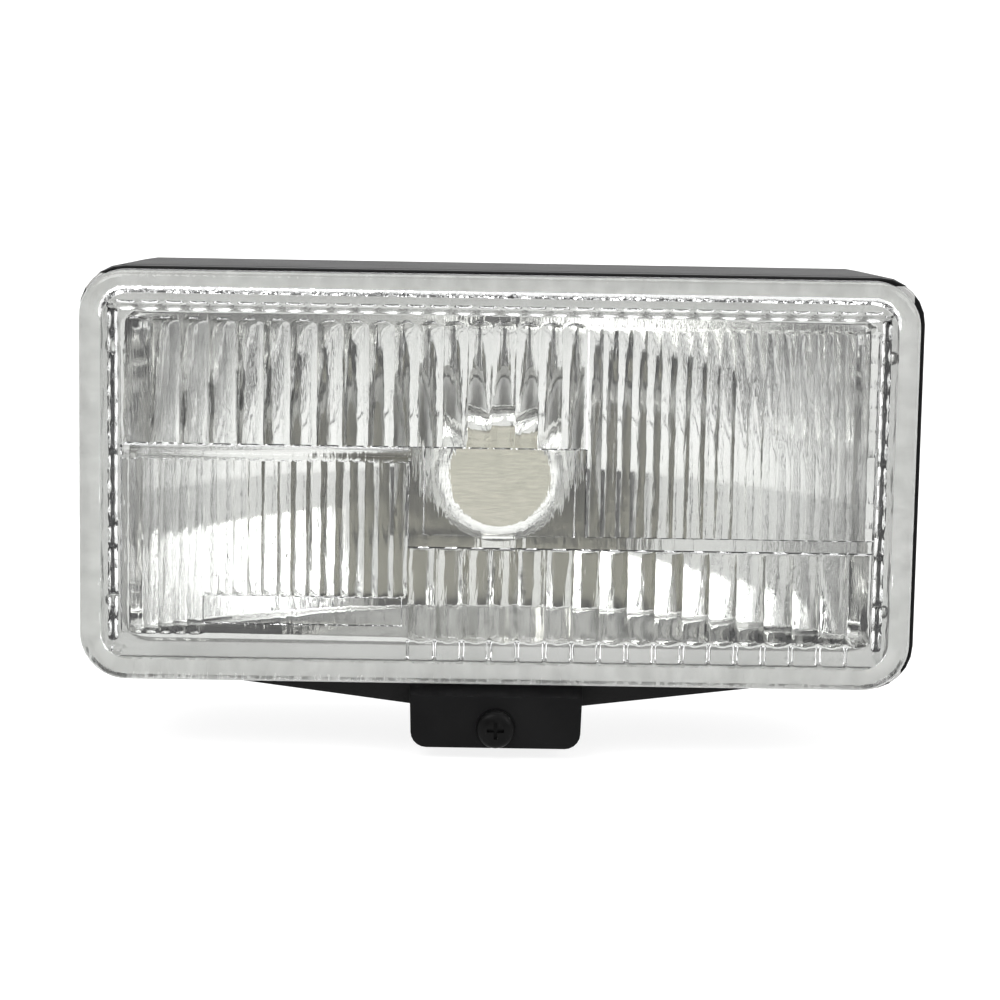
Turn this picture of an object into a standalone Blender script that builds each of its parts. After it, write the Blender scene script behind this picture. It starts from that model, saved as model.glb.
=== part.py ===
"""Rectangular halogen fog light on a steel pivot bracket.

Frame: the lamp looks along -Y, +X is to the right of someone who faces the lens, +Z is up.
The origin is the centre of the mounting bolt hole, in the bracket's bottom face.
"""
import math

import bmesh
import bpy
from mathutils import Vector

# ---------------------------------------------------------------- driving dimensions (metres)
GAP = 0.0003                   # clearance between pieces that touch

LENS_CENTRE_Z = 0.0615
LENS_OFFSET_X = -0.0005        # the glass sits this far off centre in its frame
LENS_WIDTH = 0.1814
LENS_HEIGHT = 0.0898
LENS_CORNER = 0.0103
LENS_FRONT_Y = -0.0330
LENS_DEPTH = 0.0050
LENS_THICKNESS = 0.0035
LENS_RIM = 0.0048
LENS_HOLLOW_CORNER = 0.0060

FRAME_WIDTH = 0.1830
FRAME_HEIGHT = 0.0908
FRAME_CORNER = 0.0100
FRAME_FRONT_Y = -0.0277
FRAME_REAR_Y = -0.0246
FRAME_FLOOR_Y = -0.0264
WINDOW_WIDTH = 0.1650
WINDOW_HEIGHT = 0.0740
WINDOW_CORNER = 0.0060
SEAL_INSET = 0.0012
SEAL_WIDTH = 0.0030

TOP_TONGUE_X = 0.0500
TOP_TONGUE_HALF_WIDTH = 0.0060
TOP_TONGUE_REAR_Y = -0.0175
TOP_TONGUE_Z = (0.1027, 0.1042)

TAB_HALF_TOP = 0.0190
TAB_HALF_BOTTOM = 0.0186
TAB_BOTTOM_Z = 0.0022
TAB_FRONT_Y = -0.0305
TAB_WALL = 0.0030
TAB_SIDE = 0.0022
TAB_FLOOR = 0.0008
TAB_TOP_Z = 0.0162
TAB_ROOT_Z = 0.0172
TAB_ROOT_INSET = 0.0005
TAB_SLOPE = 0.0036
TAB_CORNER = 0.0035

HOUSING_FRONT_Y = -0.0228
HOUSING_BACK_Y = 0.0310
HOUSING_WIDTH = 0.1826
HOUSING_HEIGHT = 0.0906
HOUSING_BACK_WIDTH = 0.1785
HOUSING_BACK_HEIGHT = 0.0856
HOUSING_CORNER = 0.0092
HOUSING_WALL = 0.0022
BACK_FILLET = 0.0040

SKIRT_THICKNESS = 0.0030
SKIRT_HALF_WIDTH = 0.0640
SKIRT_END_Z = 0.0158
SKIRT_CENTRE_Z = 0.0079
SKIRT_TOP_Z = 0.0175
SKIRT_RIB_X = (0.028, 0.046)
SKIRT_RIB_REAR_Y = 0.0040
SKIRT_RIB_WIDTH = 0.0020

SCREW_Z = 0.0067
SCREW_RADIUS = 0.0020
SCREW_BORE = 0.00245
SCREW_HEAD_RADIUS = 0.0043
SCREW_HEAD_HEIGHT = 0.0025
SCREW_SLOT_HALF_LENGTH = 0.0019
SCREW_SLOT_HALF_WIDTH = 0.0004
SCREW_SLOT_DEPTH = 0.0012
SCREW_TIP_Y = -0.0145
NUT_FRONT_Y = -0.0170
NUT_THICKNESS = 0.0030
NUT_SIZE = 0.0070
RETAINER_Y = -0.0243
RETAINER_THICKNESS = 0.0008
RETAINER_RADIUS = 0.0032

BOSS_HALF_WIDTH = 0.0080
BOSS_REAR_Y = -0.0135
BOSS_BOTTOM_Z = 0.0017

PIVOT_Z = 0.0100
PIVOT_RADIUS = 0.0030
PIVOT_BORE = 0.0033
LUG_RADIUS = 0.0060
LUG_OUTER_X = 0.0130
LUG_INNER_X = 0.0082
LUG_TOP_Z = 0.0180
INSERT_RADIUS = 0.0043

BRACKET_THICKNESS = 0.0020
BRACKET_HALF_WIDTH = 0.0153
BRACKET_HALF_DEPTH = 0.0120
BRACKET_ARM_RADIUS = 0.0062
BRACKET_SHOULDER_Z = 0.0045
BRACKET_CORNER = 0.0015
MOUNTING_HOLE_RADIUS = 0.00425

WASHER_RADIUS = 0.0060
WASHER_THICKNESS = 0.0010
HEX_HEAD_HEIGHT = 0.0025
HEX_RADIUS = 0.00577

BOWL_APEX_Y = 0.0200
BOWL_FOCAL_X = 0.0380
BOWL_FOCAL_Z = 0.0280
BOWL_HALF_WIDTH = 0.0770
BOWL_HALF_HEIGHT = 0.0340
BOWL_RIM_Y = -0.0220
BOWL_DRAFT = 0.0010
REFLECTOR_FRONT_Y = -0.0243
REFLECTOR_WALL = 0.0012
REFLECTOR_FLANGE_WIDTH = 0.1740
REFLECTOR_FLANGE_HEIGHT = 0.0800
REFLECTOR_HOLE = 0.0178

HOLDER_RADIUS = 0.0175
HOLDER_POCKET = 0.0163
HOLDER_BORE = 0.0075
HOLDER_FRONT_Y = 0.0130
HOLDER_REAR_Y = 0.0220
HOLDER_FLANGE_RADIUS = 0.0270
HOLDER_WALL = 0.0012

BULB_FLANGE_RADIUS = 0.0100
BULB_FLANGE_Y = 0.0145
BULB_HUB_RADIUS = 0.0050
BULB_HUB_REAR_Y = 0.0190
CAPSULE_RADIUS = 0.0058
CAPSULE_WALL = 0.0010
CAPSULE_TIP_Y = -0.0150
FILAMENT_Y = -0.0040
FILAMENT_WIRE = 0.00014
FILAMENT_HALF_LENGTH = 0.0026
FILAMENT_COIL_RADIUS = 0.0006
LEAD_RADIUS = 0.0011
LEAD_BEND = 0.0045
LEAD_STRAIGHT = 0.0010
LEAD_RISE = 0.0110
TERMINAL_HALF_WIDTH = 0.0036
TERMINAL_HALF_DEPTH = 0.0013
TERMINAL_LENGTH = 0.0150
TERMINAL_SLOT_HALF_WIDTH = 0.0032
TERMINAL_SLOT_HALF_DEPTH = 0.0005

SHIELD_RADIUS = 0.0153
SHIELD_FRONT_Y = -0.0210
SHIELD_DEPTH = 0.0060
SHIELD_WALL = 0.0008
SHIELD_LEG_HALF_WIDTH = 0.0035
SHIELD_LEG_DROP = 0.0140
SHIELD_RIVET_DROP = 0.0158
SHIELD_ROUND_EDGE = 0.0022
SMALL_SCREW_HOLE = 0.0013
FLANGE_SCREW_HOLE = 0.0015

CLIP_AXIS_X = -0.0230
CLIP_AXIS_Y = 0.0253
CLIP_WIRE = 0.0006
CLIP_ARM_Z = 0.0066
CLIP_HOOK_Z = 0.0070
CLIP_BRACKET_HALF_WIDTH = 0.0035
CLIP_BRACKET_HALF_HEIGHT = 0.0055
SHEET = 0.0008

EARTH_TAB_X = (0.0010, 0.0073)
EARTH_TAB_FOOT_Z = 0.0185
EARTH_TAB_BEND_Z = 0.0255
EARTH_TAB_TIP_Z = 0.0340
EARTH_TAB_EYE_Z = 0.0315
EARTH_TAB_EYE = 0.0008

REFLECTOR_SCREW_X = 0.0846
REFLECTOR_SCREW_DROP = 0.0280
SMALL_SCREW_HEAD_RADIUS = 0.0019
SMALL_SCREW_HEAD_HEIGHT = 0.0012
FLANGE_SCREW_RADIUS = 0.0012
FLANGE_SCREW_LENGTH = 0.0032
CLIP_SCREW_RADIUS = 0.0010
CLIP_SCREW_LENGTH = 0.0030
RIVET_RADIUS = 0.0009
RIVET_HEAD_RADIUS = 0.0015
RIVET_LENGTH = 0.0020

GROMMET_X = 0.0400
GROMMET_Z = 0.0400
GROMMET_HOLE = 0.0070
GROMMET_CABLE_RADIUS = 0.0033
GROMMET_NOSE_RADIUS = 0.0050
GROMMET_NOSE_LENGTH = 0.0035
GROMMET_LIP_RADIUS = 0.0085
GROMMET_COLLAR_RADIUS = 0.0098
GROMMET_COLLAR_THICKNESS = 0.0016
GROMMET_TAIL_RADIUS = 0.0055
GROMMET_TAIL_LENGTH = 0.0045

FACING_FRONT = (math.pi / 2, 0, 0)             # local Z looks out of the lens
FACING_SIDE = (math.pi / 2, 0, math.pi / 2)    # local Z looks along +X
FACING_UP = (0, 0, 0)


# ---------------------------------------------------------------- scene helpers
def clear_scene():
    for existing in list(bpy.data.objects):
        bpy.data.objects.remove(existing, do_unlink=True)


def make_collection(name):
    collection = bpy.data.collections.new(name)
    bpy.context.scene.collection.children.link(collection)
    return collection


def make_material(name, colour, roughness, metallic=0.0, transmission=0.0):
    material = bpy.data.materials.new(name)
    material.use_nodes = True
    shader = material.node_tree.nodes["Principled BSDF"]
    shader.inputs["Base Color"].default_value = (*colour, 1.0)
    shader.inputs["Roughness"].default_value = roughness
    shader.inputs["Metallic"].default_value = metallic
    shader.inputs["Transmission Weight"].default_value = transmission
    return material


def make_object(name, data, location=(0, 0, 0), rotation=FACING_UP):
    thing = bpy.data.objects.new(name, data)
    thing.location = location
    thing.rotation_euler = rotation
    PARTS.objects.link(thing)
    bpy.context.view_layer.update()
    return thing


def mesh_from_curve(curve_object):
    """Turn a curve object into a mesh object of the same name and place."""
    evaluated = curve_object.evaluated_get(bpy.context.evaluated_depsgraph_get())
    mesh = bpy.data.meshes.new_from_object(evaluated)
    work = bmesh.new()
    work.from_mesh(mesh)
    bmesh.ops.remove_doubles(work, verts=work.verts, dist=0.000001)
    work.to_mesh(mesh)
    work.free()
    name = curve_object.name
    place = curve_object.matrix_world.copy()
    bpy.data.objects.remove(curve_object, do_unlink=True)
    solid = make_object(name, mesh)
    solid.matrix_world = place
    return solid


def smooth(thing, angle=35):
    thing.data.shade_smooth()
    thing.data.set_sharp_from_angle(angle=math.radians(angle))


def bevel(thing, width, segments=2):
    modifier = thing.modifiers.new("rounded_edges", "BEVEL")
    modifier.width = width
    modifier.segments = segments
    modifier.limit_method = "ANGLE"
    modifier.angle_limit = math.radians(40)


def combine(target, tool, operation):
    """Boolean of two mesh objects; the tool moves to the cutters collection."""
    modifier = target.modifiers.new(operation.lower() + "_" + tool.name, "BOOLEAN")
    modifier.operation = operation
    modifier.object = tool
    modifier.solver = "EXACT"
    PARTS.objects.unlink(tool)
    CUTTERS.objects.link(tool)
    tool.hide_render = True
    tool.display_type = "WIRE"


def cut(target, tool):
    combine(target, tool, "DIFFERENCE")


def join(target, tool):
    combine(target, tool, "UNION")


# ---------------------------------------------------------------- shape helpers
def rounded_polygon(points, radius, steps=5):
    """Polygon whose corners are arcs; radius is one number or one number for each corner."""
    count = len(points)
    radii = radius if isinstance(radius, (list, tuple)) else [radius] * count
    outline = []
    for index in range(count):
        corner = Vector(points[index])
        to_last = (Vector(points[index - 1]) - corner).normalized()
        to_next = (Vector(points[(index + 1) % count]) - corner).normalized()
        if radii[index] == 0:
            outline.append(tuple(corner))
            continue
        half_angle = to_last.angle(to_next) / 2
        reach = radii[index] / math.tan(half_angle)
        bisector = (to_last + to_next).normalized()
        centre = corner + bisector * (radii[index] / math.sin(half_angle))
        start = corner + to_last * reach - centre
        end = corner + to_next * reach - centre
        sweep = start.angle_signed(end)
        for step in range(steps + 1):
            turn = -sweep * step / steps
            outline.append((centre.x + start.x * math.cos(turn) - start.y * math.sin(turn),
                            centre.y + start.x * math.sin(turn) + start.y * math.cos(turn)))
    return outline


def rounded_rectangle(width, height, radius, steps=5):
    half_w = width / 2
    half_h = height / 2
    corners = [(half_w, half_h), (-half_w, half_h), (-half_w, -half_h), (half_w, -half_h)]
    return rounded_polygon(corners, radius, steps)


def plate(name, outline, thickness, location, rotation=FACING_FRONT):
    """Flat outline with a thickness, centred on its location."""
    curve = bpy.data.curves.new(name, "CURVE")
    curve.dimensions = "2D"
    curve.fill_mode = "BOTH"
    curve.extrude = thickness / 2
    spline = curve.splines.new("POLY")
    spline.points.add(len(outline) - 1)
    for point, (x, y) in zip(spline.points, outline):
        point.co = (x, y, 0, 1)
    spline.use_cyclic_u = True
    return mesh_from_curve(make_object(name, curve, location, rotation))


def front_plate(name, outline, front_y, rear_y, x=0.0, z=LENS_CENTRE_Z):
    return plate(name, outline, rear_y - front_y, (x, (front_y + rear_y) / 2, z), FACING_FRONT)


def block(name, low, high):
    """Box between two opposite corners."""
    work = bmesh.new()
    bmesh.ops.create_cube(work, size=1.0)
    size = Vector(high) - Vector(low)
    bmesh.ops.scale(work, vec=size, verts=work.verts)
    mesh = bpy.data.meshes.new(name)
    work.to_mesh(mesh)
    work.free()
    return make_object(name, mesh, (Vector(low) + Vector(high)) / 2)


def cylinder(name, radius, length, location, rotation=FACING_FRONT, segments=24):
    work = bmesh.new()
    bmesh.ops.create_cone(work, cap_ends=True, segments=segments,
                          radius1=radius, radius2=radius, depth=length)
    mesh = bpy.data.meshes.new(name)
    work.to_mesh(mesh)
    work.free()
    thing = make_object(name, mesh, location, rotation)
    smooth(thing)
    return thing


def front_cylinder(name, radius, front_y, rear_y, x, z, segments=24):
    return cylinder(name, radius, rear_y - front_y, (x, (front_y + rear_y) / 2, z),
                    FACING_FRONT, segments)


def turned(name, profile, location, rotation=FACING_FRONT, steps=32, ring=False):
    """Profile of (radius, height) points, top to bottom down its outer side, turned about Z."""
    mesh = bpy.data.meshes.new(name)
    points = [(radius, 0, height) for radius, height in profile]
    edges = [(index, index + 1) for index in range(len(points) - 1)]
    if ring:
        edges.append((len(points) - 1, 0))
    mesh.from_pydata(points, edges, [])
    thing = make_object(name, mesh, location, rotation)
    screw = thing.modifiers.new("turn", "SCREW")
    screw.steps = steps
    screw.render_steps = steps
    screw.use_merge_vertices = True
    screw.merge_threshold = 0.00001
    screw.use_smooth_shade = True
    return thing


def wire(name, points, radius):
    curve = bpy.data.curves.new(name, "CURVE")
    curve.dimensions = "3D"
    curve.bevel_depth = radius
    curve.bevel_resolution = 2
    curve.use_fill_caps = True
    spline = curve.splines.new("POLY")
    spline.points.add(len(points) - 1)
    for point, position in zip(spline.points, points):
        point.co = (*position, 1)
    return make_object(name, curve)


def paint(thing, material):
    thing.data.materials.clear()
    thing.data.materials.append(material)
    return thing


# ---------------------------------------------------------------- mounting bracket and pivot
def bracket_arm_outline():
    half = BRACKET_HALF_DEPTH - BRACKET_CORNER
    top = []
    steps = 10
    for step in range(steps + 1):
        angle = math.pi * step / steps
        top.append((BRACKET_ARM_RADIUS * math.cos(angle),
                    PIVOT_Z + BRACKET_ARM_RADIUS * math.sin(angle)))
    foot_z = BRACKET_THICKNESS / 2
    front = [(-half, foot_z), (half, foot_z), (half, BRACKET_SHOULDER_Z)]
    return front + top + [(-half, BRACKET_SHOULDER_Z)]


def mounting_bracket():
    base_outline = rounded_rectangle(2 * BRACKET_HALF_WIDTH, 2 * BRACKET_HALF_DEPTH, BRACKET_CORNER, 3)
    bracket = plate("mounting_bracket", base_outline, BRACKET_THICKNESS,
                    (0, 0, BRACKET_THICKNESS / 2), FACING_UP)
    for side in (-1, 1):
        arm_x = side * (BRACKET_HALF_WIDTH - BRACKET_THICKNESS / 2)
        arm = plate("bracket_arm", bracket_arm_outline(), BRACKET_THICKNESS,
                    (arm_x, 0, 0), FACING_SIDE)
        join(bracket, arm)
    bolt_hole = cylinder("mounting_hole", MOUNTING_HOLE_RADIUS, 0.01, (0, 0, 0), FACING_UP, 32)
    cut(bracket, bolt_hole)
    pivot_hole = cylinder("bracket_pivot_hole", PIVOT_BORE, 0.06, (0, 0, PIVOT_Z), FACING_SIDE)
    cut(bracket, pivot_hole)
    return paint(bracket, BLACK_STEEL)


def pivot_washer(name, side):
    inner_x = BRACKET_HALF_WIDTH + GAP
    centre_x = side * (inner_x + WASHER_THICKNESS / 2)
    washer = cylinder(name, WASHER_RADIUS, WASHER_THICKNESS, (centre_x, 0, PIVOT_Z), FACING_SIDE)
    cut(washer, cylinder(name + "_hole", PIVOT_BORE, 0.01, (centre_x, 0, PIVOT_Z), FACING_SIDE))
    return paint(washer, ZINC_STEEL)


def pivot_screw(name, side):
    """Hex head screw through washer and bracket arm into the insert of one housing ear."""
    head_x = BRACKET_HALF_WIDTH + WASHER_THICKNESS + 2 * GAP
    tip_x = LUG_INNER_X + GAP
    head = cylinder(name, HEX_RADIUS, HEX_HEAD_HEIGHT,
                    (side * (head_x + HEX_HEAD_HEIGHT / 2), 0, PIVOT_Z), FACING_SIDE, 6)
    shank_end = head_x + 0.001
    shank = cylinder(name + "_shank", PIVOT_RADIUS, shank_end - tip_x,
                     (side * (shank_end + tip_x) / 2, 0, PIVOT_Z), FACING_SIDE)
    join(head, shank)
    return paint(head, ZINC_STEEL)


def pivot_insert(name, side):
    """Brass insert moulded into one housing ear; the ear turns on the screw inside it."""
    length = LUG_OUTER_X - LUG_INNER_X
    centre_x = side * (LUG_OUTER_X + LUG_INNER_X) / 2
    insert = cylinder(name, INSERT_RADIUS, length, (centre_x, 0, PIVOT_Z), FACING_SIDE)
    cut(insert, cylinder(name + "_hole", PIVOT_BORE, 0.02, (centre_x, 0, PIVOT_Z), FACING_SIDE))
    return paint(insert, BRASS)


# ---------------------------------------------------------------- housing
def housing_sections():
    """(y, width, height, corner radius) from the open front to the back wall."""
    straight = HOUSING_BACK_Y - BACK_FILLET - HOUSING_FRONT_Y
    sections = []
    for share in (0.0, 0.5, 1.0):
        sections.append((HOUSING_FRONT_Y + share * straight,
                         HOUSING_WIDTH + share * (HOUSING_BACK_WIDTH - HOUSING_WIDTH),
                         HOUSING_HEIGHT + share * (HOUSING_BACK_HEIGHT - HOUSING_HEIGHT),
                         HOUSING_CORNER))
    fillet_steps = 4
    for step in range(1, fillet_steps + 1):
        angle = math.pi / 2 * step / fillet_steps
        inset = BACK_FILLET * (1 - math.cos(angle))
        sections.append((HOUSING_BACK_Y - BACK_FILLET * (1 - math.sin(angle)),
                         HOUSING_BACK_WIDTH - 2 * inset,
                         HOUSING_BACK_HEIGHT - 2 * inset,
                         HOUSING_CORNER - inset))
    return sections


def housing_shell():
    """Open lofted box, thickened inwards."""
    work = bmesh.new()
    rings = []
    for y, width, height, corner in housing_sections():
        outline = rounded_rectangle(width, height, corner)
        rings.append([work.verts.new((x, y, LENS_CENTRE_Z + z)) for x, z in outline])
    for ring, deeper in zip(rings, rings[1:]):
        for index in range(len(ring)):
            after = (index + 1) % len(ring)
            work.faces.new((ring[index], deeper[index], deeper[after], ring[after]))
    work.faces.new(rings[-1])
    bmesh.ops.recalc_face_normals(work, faces=work.faces)
    mesh = bpy.data.meshes.new("rear_housing")
    work.to_mesh(mesh)
    work.free()
    shell = make_object("rear_housing", mesh)
    smooth(shell)
    thicken = shell.modifiers.new("wall", "SOLIDIFY")
    thicken.thickness = HOUSING_WALL
    thicken.offset = -1
    thicken.use_even_offset = True
    return shell


def skirt():
    """V-shaped apron under the housing that hides the bracket from the front."""
    points = [(SKIRT_HALF_WIDTH, SKIRT_TOP_Z), (-SKIRT_HALF_WIDTH, SKIRT_TOP_Z),
              (-SKIRT_HALF_WIDTH, SKIRT_END_Z), (0, SKIRT_CENTRE_Z),
              (SKIRT_HALF_WIDTH, SKIRT_END_Z)]
    outline = rounded_polygon(points, [0, 0, 0, 0.02, 0], 3)
    return front_plate("housing_skirt", outline, HOUSING_FRONT_Y,
                       HOUSING_FRONT_Y + SKIRT_THICKNESS, z=0)


def skirt_rib(name, x):
    """Gusset that ties the skirt to the underside of the housing."""
    front_y = HOUSING_FRONT_Y + SKIRT_THICKNESS / 2
    rise = (SKIRT_END_Z - SKIRT_CENTRE_Z) / SKIRT_HALF_WIDTH
    tip_z = SKIRT_CENTRE_Z + abs(x) * rise + 0.0008
    outline = [(front_y, tip_z), (SKIRT_RIB_REAR_Y, SKIRT_TOP_Z - 0.0010),
               (SKIRT_RIB_REAR_Y, SKIRT_TOP_Z + 0.0010), (front_y, SKIRT_TOP_Z + 0.0005)]
    return plate(name, outline, SKIRT_RIB_WIDTH, (x, 0, 0), FACING_SIDE)


def pivot_ear(side):
    """One of the two ears that hang between the bracket arms, with room for a bolt head between."""
    outline = [(LUG_RADIUS, LUG_TOP_Z), (-LUG_RADIUS, LUG_TOP_Z)]
    steps = 12
    for step in range(steps + 1):
        angle = math.pi * (1 + step / steps)
        outline.append((LUG_RADIUS * math.cos(angle), PIVOT_Z + LUG_RADIUS * math.sin(angle)))
    centre_x = side * (LUG_OUTER_X + LUG_INNER_X) / 2
    return plate("pivot_ear", outline, LUG_OUTER_X - LUG_INNER_X, (centre_x, 0, 0), FACING_SIDE)


def rear_housing():
    housing = housing_shell()
    join(housing, skirt())
    for x in SKIRT_RIB_X:
        join(housing, skirt_rib("skirt_rib_left", -x))
        join(housing, skirt_rib("skirt_rib_right", x))
    boss = block("screw_boss", (-BOSS_HALF_WIDTH, HOUSING_FRONT_Y, BOSS_BOTTOM_Z),
                 (BOSS_HALF_WIDTH, BOSS_REAR_Y, LUG_TOP_Z))
    bevel(boss, 0.0010, 1)
    join(housing, boss)
    for side in (-1, 1):
        join(housing, pivot_ear(side))
    ear_bore = cylinder("ear_bore", INSERT_RADIUS + GAP, 0.06, (0, 0, PIVOT_Z), FACING_SIDE)
    cut(housing, ear_bore)
    screw_bore = front_cylinder("boss_bore", SCREW_BORE, -0.030, -0.010, 0, SCREW_Z)
    cut(housing, screw_bore)
    half = NUT_SIZE / 2 + GAP
    pocket = block("nut_pocket", (-half, NUT_FRONT_Y - GAP, SCREW_Z - half),
                   (half, BOSS_REAR_Y + 0.002, SCREW_Z + half))
    cut(housing, pocket)
    cable_hole = front_cylinder("cable_hole", GROMMET_HOLE, 0.020, 0.040, GROMMET_X, GROMMET_Z)
    cut(housing, cable_hole)
    return paint(housing, BLACK_PLASTIC)


def housing_seal():
    """Flat gasket on the front edge of the housing."""
    outer = rounded_rectangle(HOUSING_WIDTH - 0.0002, HOUSING_HEIGHT - 0.0002, HOUSING_CORNER)
    seal = front_plate("housing_seal", outer, FRAME_REAR_Y + GAP, HOUSING_FRONT_Y - GAP)
    inner = rounded_rectangle(HOUSING_WIDTH - 0.0050, HOUSING_HEIGHT - 0.0050, 0.0070)
    cut(seal, front_plate("housing_seal_window", inner, -0.030, -0.020))
    return paint(seal, RUBBER)


def captive_nut():
    half = NUT_SIZE / 2
    nut = block("captive_nut", (-half, NUT_FRONT_Y, SCREW_Z - half),
                (half, NUT_FRONT_Y + NUT_THICKNESS, SCREW_Z + half))
    cut(nut, front_cylinder("captive_nut_thread", SCREW_BORE, -0.020, -0.010, 0, SCREW_Z))
    return paint(nut, ZINC_STEEL)


def cable_grommet():
    """Rubber bush in the back wall; heights run from inside the lamp (top) to outside."""
    inside = 0.0000
    wall_top = inside - GROMMET_NOSE_LENGTH
    wall_bottom = wall_top - HOUSING_WALL - 2 * GAP
    collar_bottom = wall_bottom - GROMMET_COLLAR_THICKNESS
    outside = wall_bottom - GROMMET_TAIL_LENGTH
    neck = GROMMET_HOLE - GAP
    profile = [(GROMMET_NOSE_RADIUS, inside), (GROMMET_LIP_RADIUS, wall_top), (neck, wall_top),
               (neck, wall_bottom), (GROMMET_COLLAR_RADIUS, wall_bottom),
               (GROMMET_COLLAR_RADIUS - 0.0002, collar_bottom),
               (GROMMET_TAIL_RADIUS, collar_bottom - 0.0006),
               (GROMMET_TAIL_RADIUS - 0.0010, outside),
               (GROMMET_CABLE_RADIUS, outside), (GROMMET_CABLE_RADIUS, inside)]
    top_y = HOUSING_BACK_Y - HOUSING_WALL - GAP + wall_top
    grommet = turned("cable_grommet", profile, (GROMMET_X, top_y, GROMMET_Z), FACING_FRONT, 24, True)
    return paint(grommet, RUBBER)


# ---------------------------------------------------------------- lens, frame and screw
def lens_glass():
    """Pressed glass dish: a thick face with a deeper rim behind it."""
    outer = rounded_rectangle(LENS_WIDTH, LENS_HEIGHT, LENS_CORNER, 6)
    lens = front_plate("lens_glass", outer, LENS_FRONT_Y, LENS_FRONT_Y + LENS_DEPTH, LENS_OFFSET_X)
    bevel(lens, 0.0009, 2)
    hollow = rounded_rectangle(LENS_WIDTH - 2 * LENS_RIM, LENS_HEIGHT - 2 * LENS_RIM,
                               LENS_HOLLOW_CORNER)
    cut(lens, front_plate("lens_hollow", hollow, LENS_FRONT_Y + LENS_THICKNESS, -0.020,
                          LENS_OFFSET_X))
    return paint(lens, GLASS)


def seal_outline(inset):
    """Outline that runs along the edge of the glass, the given distance inside it."""
    return rounded_rectangle(LENS_WIDTH - 2 * inset, LENS_HEIGHT - 2 * inset, LENS_CORNER - inset)


def lens_seal():
    """Bead that bonds the glass rim to the floor of the frame."""
    front_y = LENS_FRONT_Y + LENS_DEPTH + GAP
    seal = front_plate("lens_seal", seal_outline(SEAL_INSET), front_y, FRAME_FLOOR_Y - GAP,
                       LENS_OFFSET_X)
    cut(seal, front_plate("lens_seal_window", seal_outline(SEAL_INSET + SEAL_WIDTH), -0.030, -0.020,
                          LENS_OFFSET_X))
    return paint(seal, RUBBER)


def tab_outline(top_z, side_inset=0.0, bottom_inset=0.0):
    bottom_z = TAB_BOTTOM_Z + bottom_inset
    points = [(TAB_HALF_TOP - side_inset, top_z), (-TAB_HALF_TOP + side_inset, top_z),
              (-TAB_HALF_BOTTOM + side_inset, bottom_z), (TAB_HALF_BOTTOM - side_inset, bottom_z)]
    corner = TAB_CORNER - side_inset
    return rounded_polygon(points, [0, 0, corner, corner], 5)


def screw_tab():
    """Hollow tongue under the frame that the retaining screw passes through."""
    tab = front_plate("screw_tab", tab_outline(TAB_TOP_Z), TAB_FRONT_Y, FRAME_REAR_Y, z=0)
    half = TAB_SLOPE / 2
    slope = block("tab_slope", (-0.03, -2 * half, -half), (0.03, 2 * half, half))
    slope.location = (0, TAB_FRONT_Y, TAB_TOP_Z)
    slope.rotation_euler = (math.radians(45), 0, 0)
    cut(tab, slope)
    half_root = TAB_HALF_TOP - TAB_ROOT_INSET
    root = block("tab_root", (-half_root, FRAME_FRONT_Y + TAB_ROOT_INSET, TAB_TOP_Z - 0.0012),
                 (half_root, FRAME_REAR_Y - TAB_ROOT_INSET, TAB_ROOT_Z))
    join(tab, root)
    pocket_top = TAB_TOP_Z - TAB_SLOPE
    cut(tab, front_plate("tab_pocket", tab_outline(pocket_top, TAB_SIDE, TAB_FLOOR),
                         TAB_FRONT_Y + TAB_WALL, -0.020, z=0))
    cut(tab, front_cylinder("tab_bore", SCREW_BORE, -0.035, -0.020, 0, SCREW_Z))
    notch = cylinder("tab_notch", 0.0009, 0.012, (0, TAB_FRONT_Y + 0.001, TAB_BOTTOM_Z),
                     FACING_FRONT, 4)
    cut(tab, notch)
    return tab


def lens_frame():
    outer = rounded_rectangle(FRAME_WIDTH, FRAME_HEIGHT, FRAME_CORNER, 6)
    frame = front_plate("lens_frame", outer, FRAME_FRONT_Y, FRAME_REAR_Y)
    bevel(frame, 0.0004, 1)
    cut(frame, front_plate("frame_pocket", seal_outline(SEAL_INSET - GAP), -0.040, FRAME_FLOOR_Y,
                           LENS_OFFSET_X))
    window = rounded_rectangle(WINDOW_WIDTH, WINDOW_HEIGHT, WINDOW_CORNER)
    cut(frame, front_plate("frame_window", window, -0.040, -0.020))
    join(frame, screw_tab())
    for side in (-1, 1):
        centre_x = side * TOP_TONGUE_X
        tongue = block("top_tongue",
                       (centre_x - TOP_TONGUE_HALF_WIDTH, FRAME_REAR_Y - 0.0010, TOP_TONGUE_Z[0]),
                       (centre_x + TOP_TONGUE_HALF_WIDTH, TOP_TONGUE_REAR_Y, TOP_TONGUE_Z[1]))
        join(frame, tongue)
    for x, z in reflector_screw_places():
        cut(frame, front_cylinder("frame_screw_hole", FLANGE_SCREW_HOLE, -0.030, -0.020, x, z, 12))
    return paint(frame, BLACK_PLASTIC)


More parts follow.
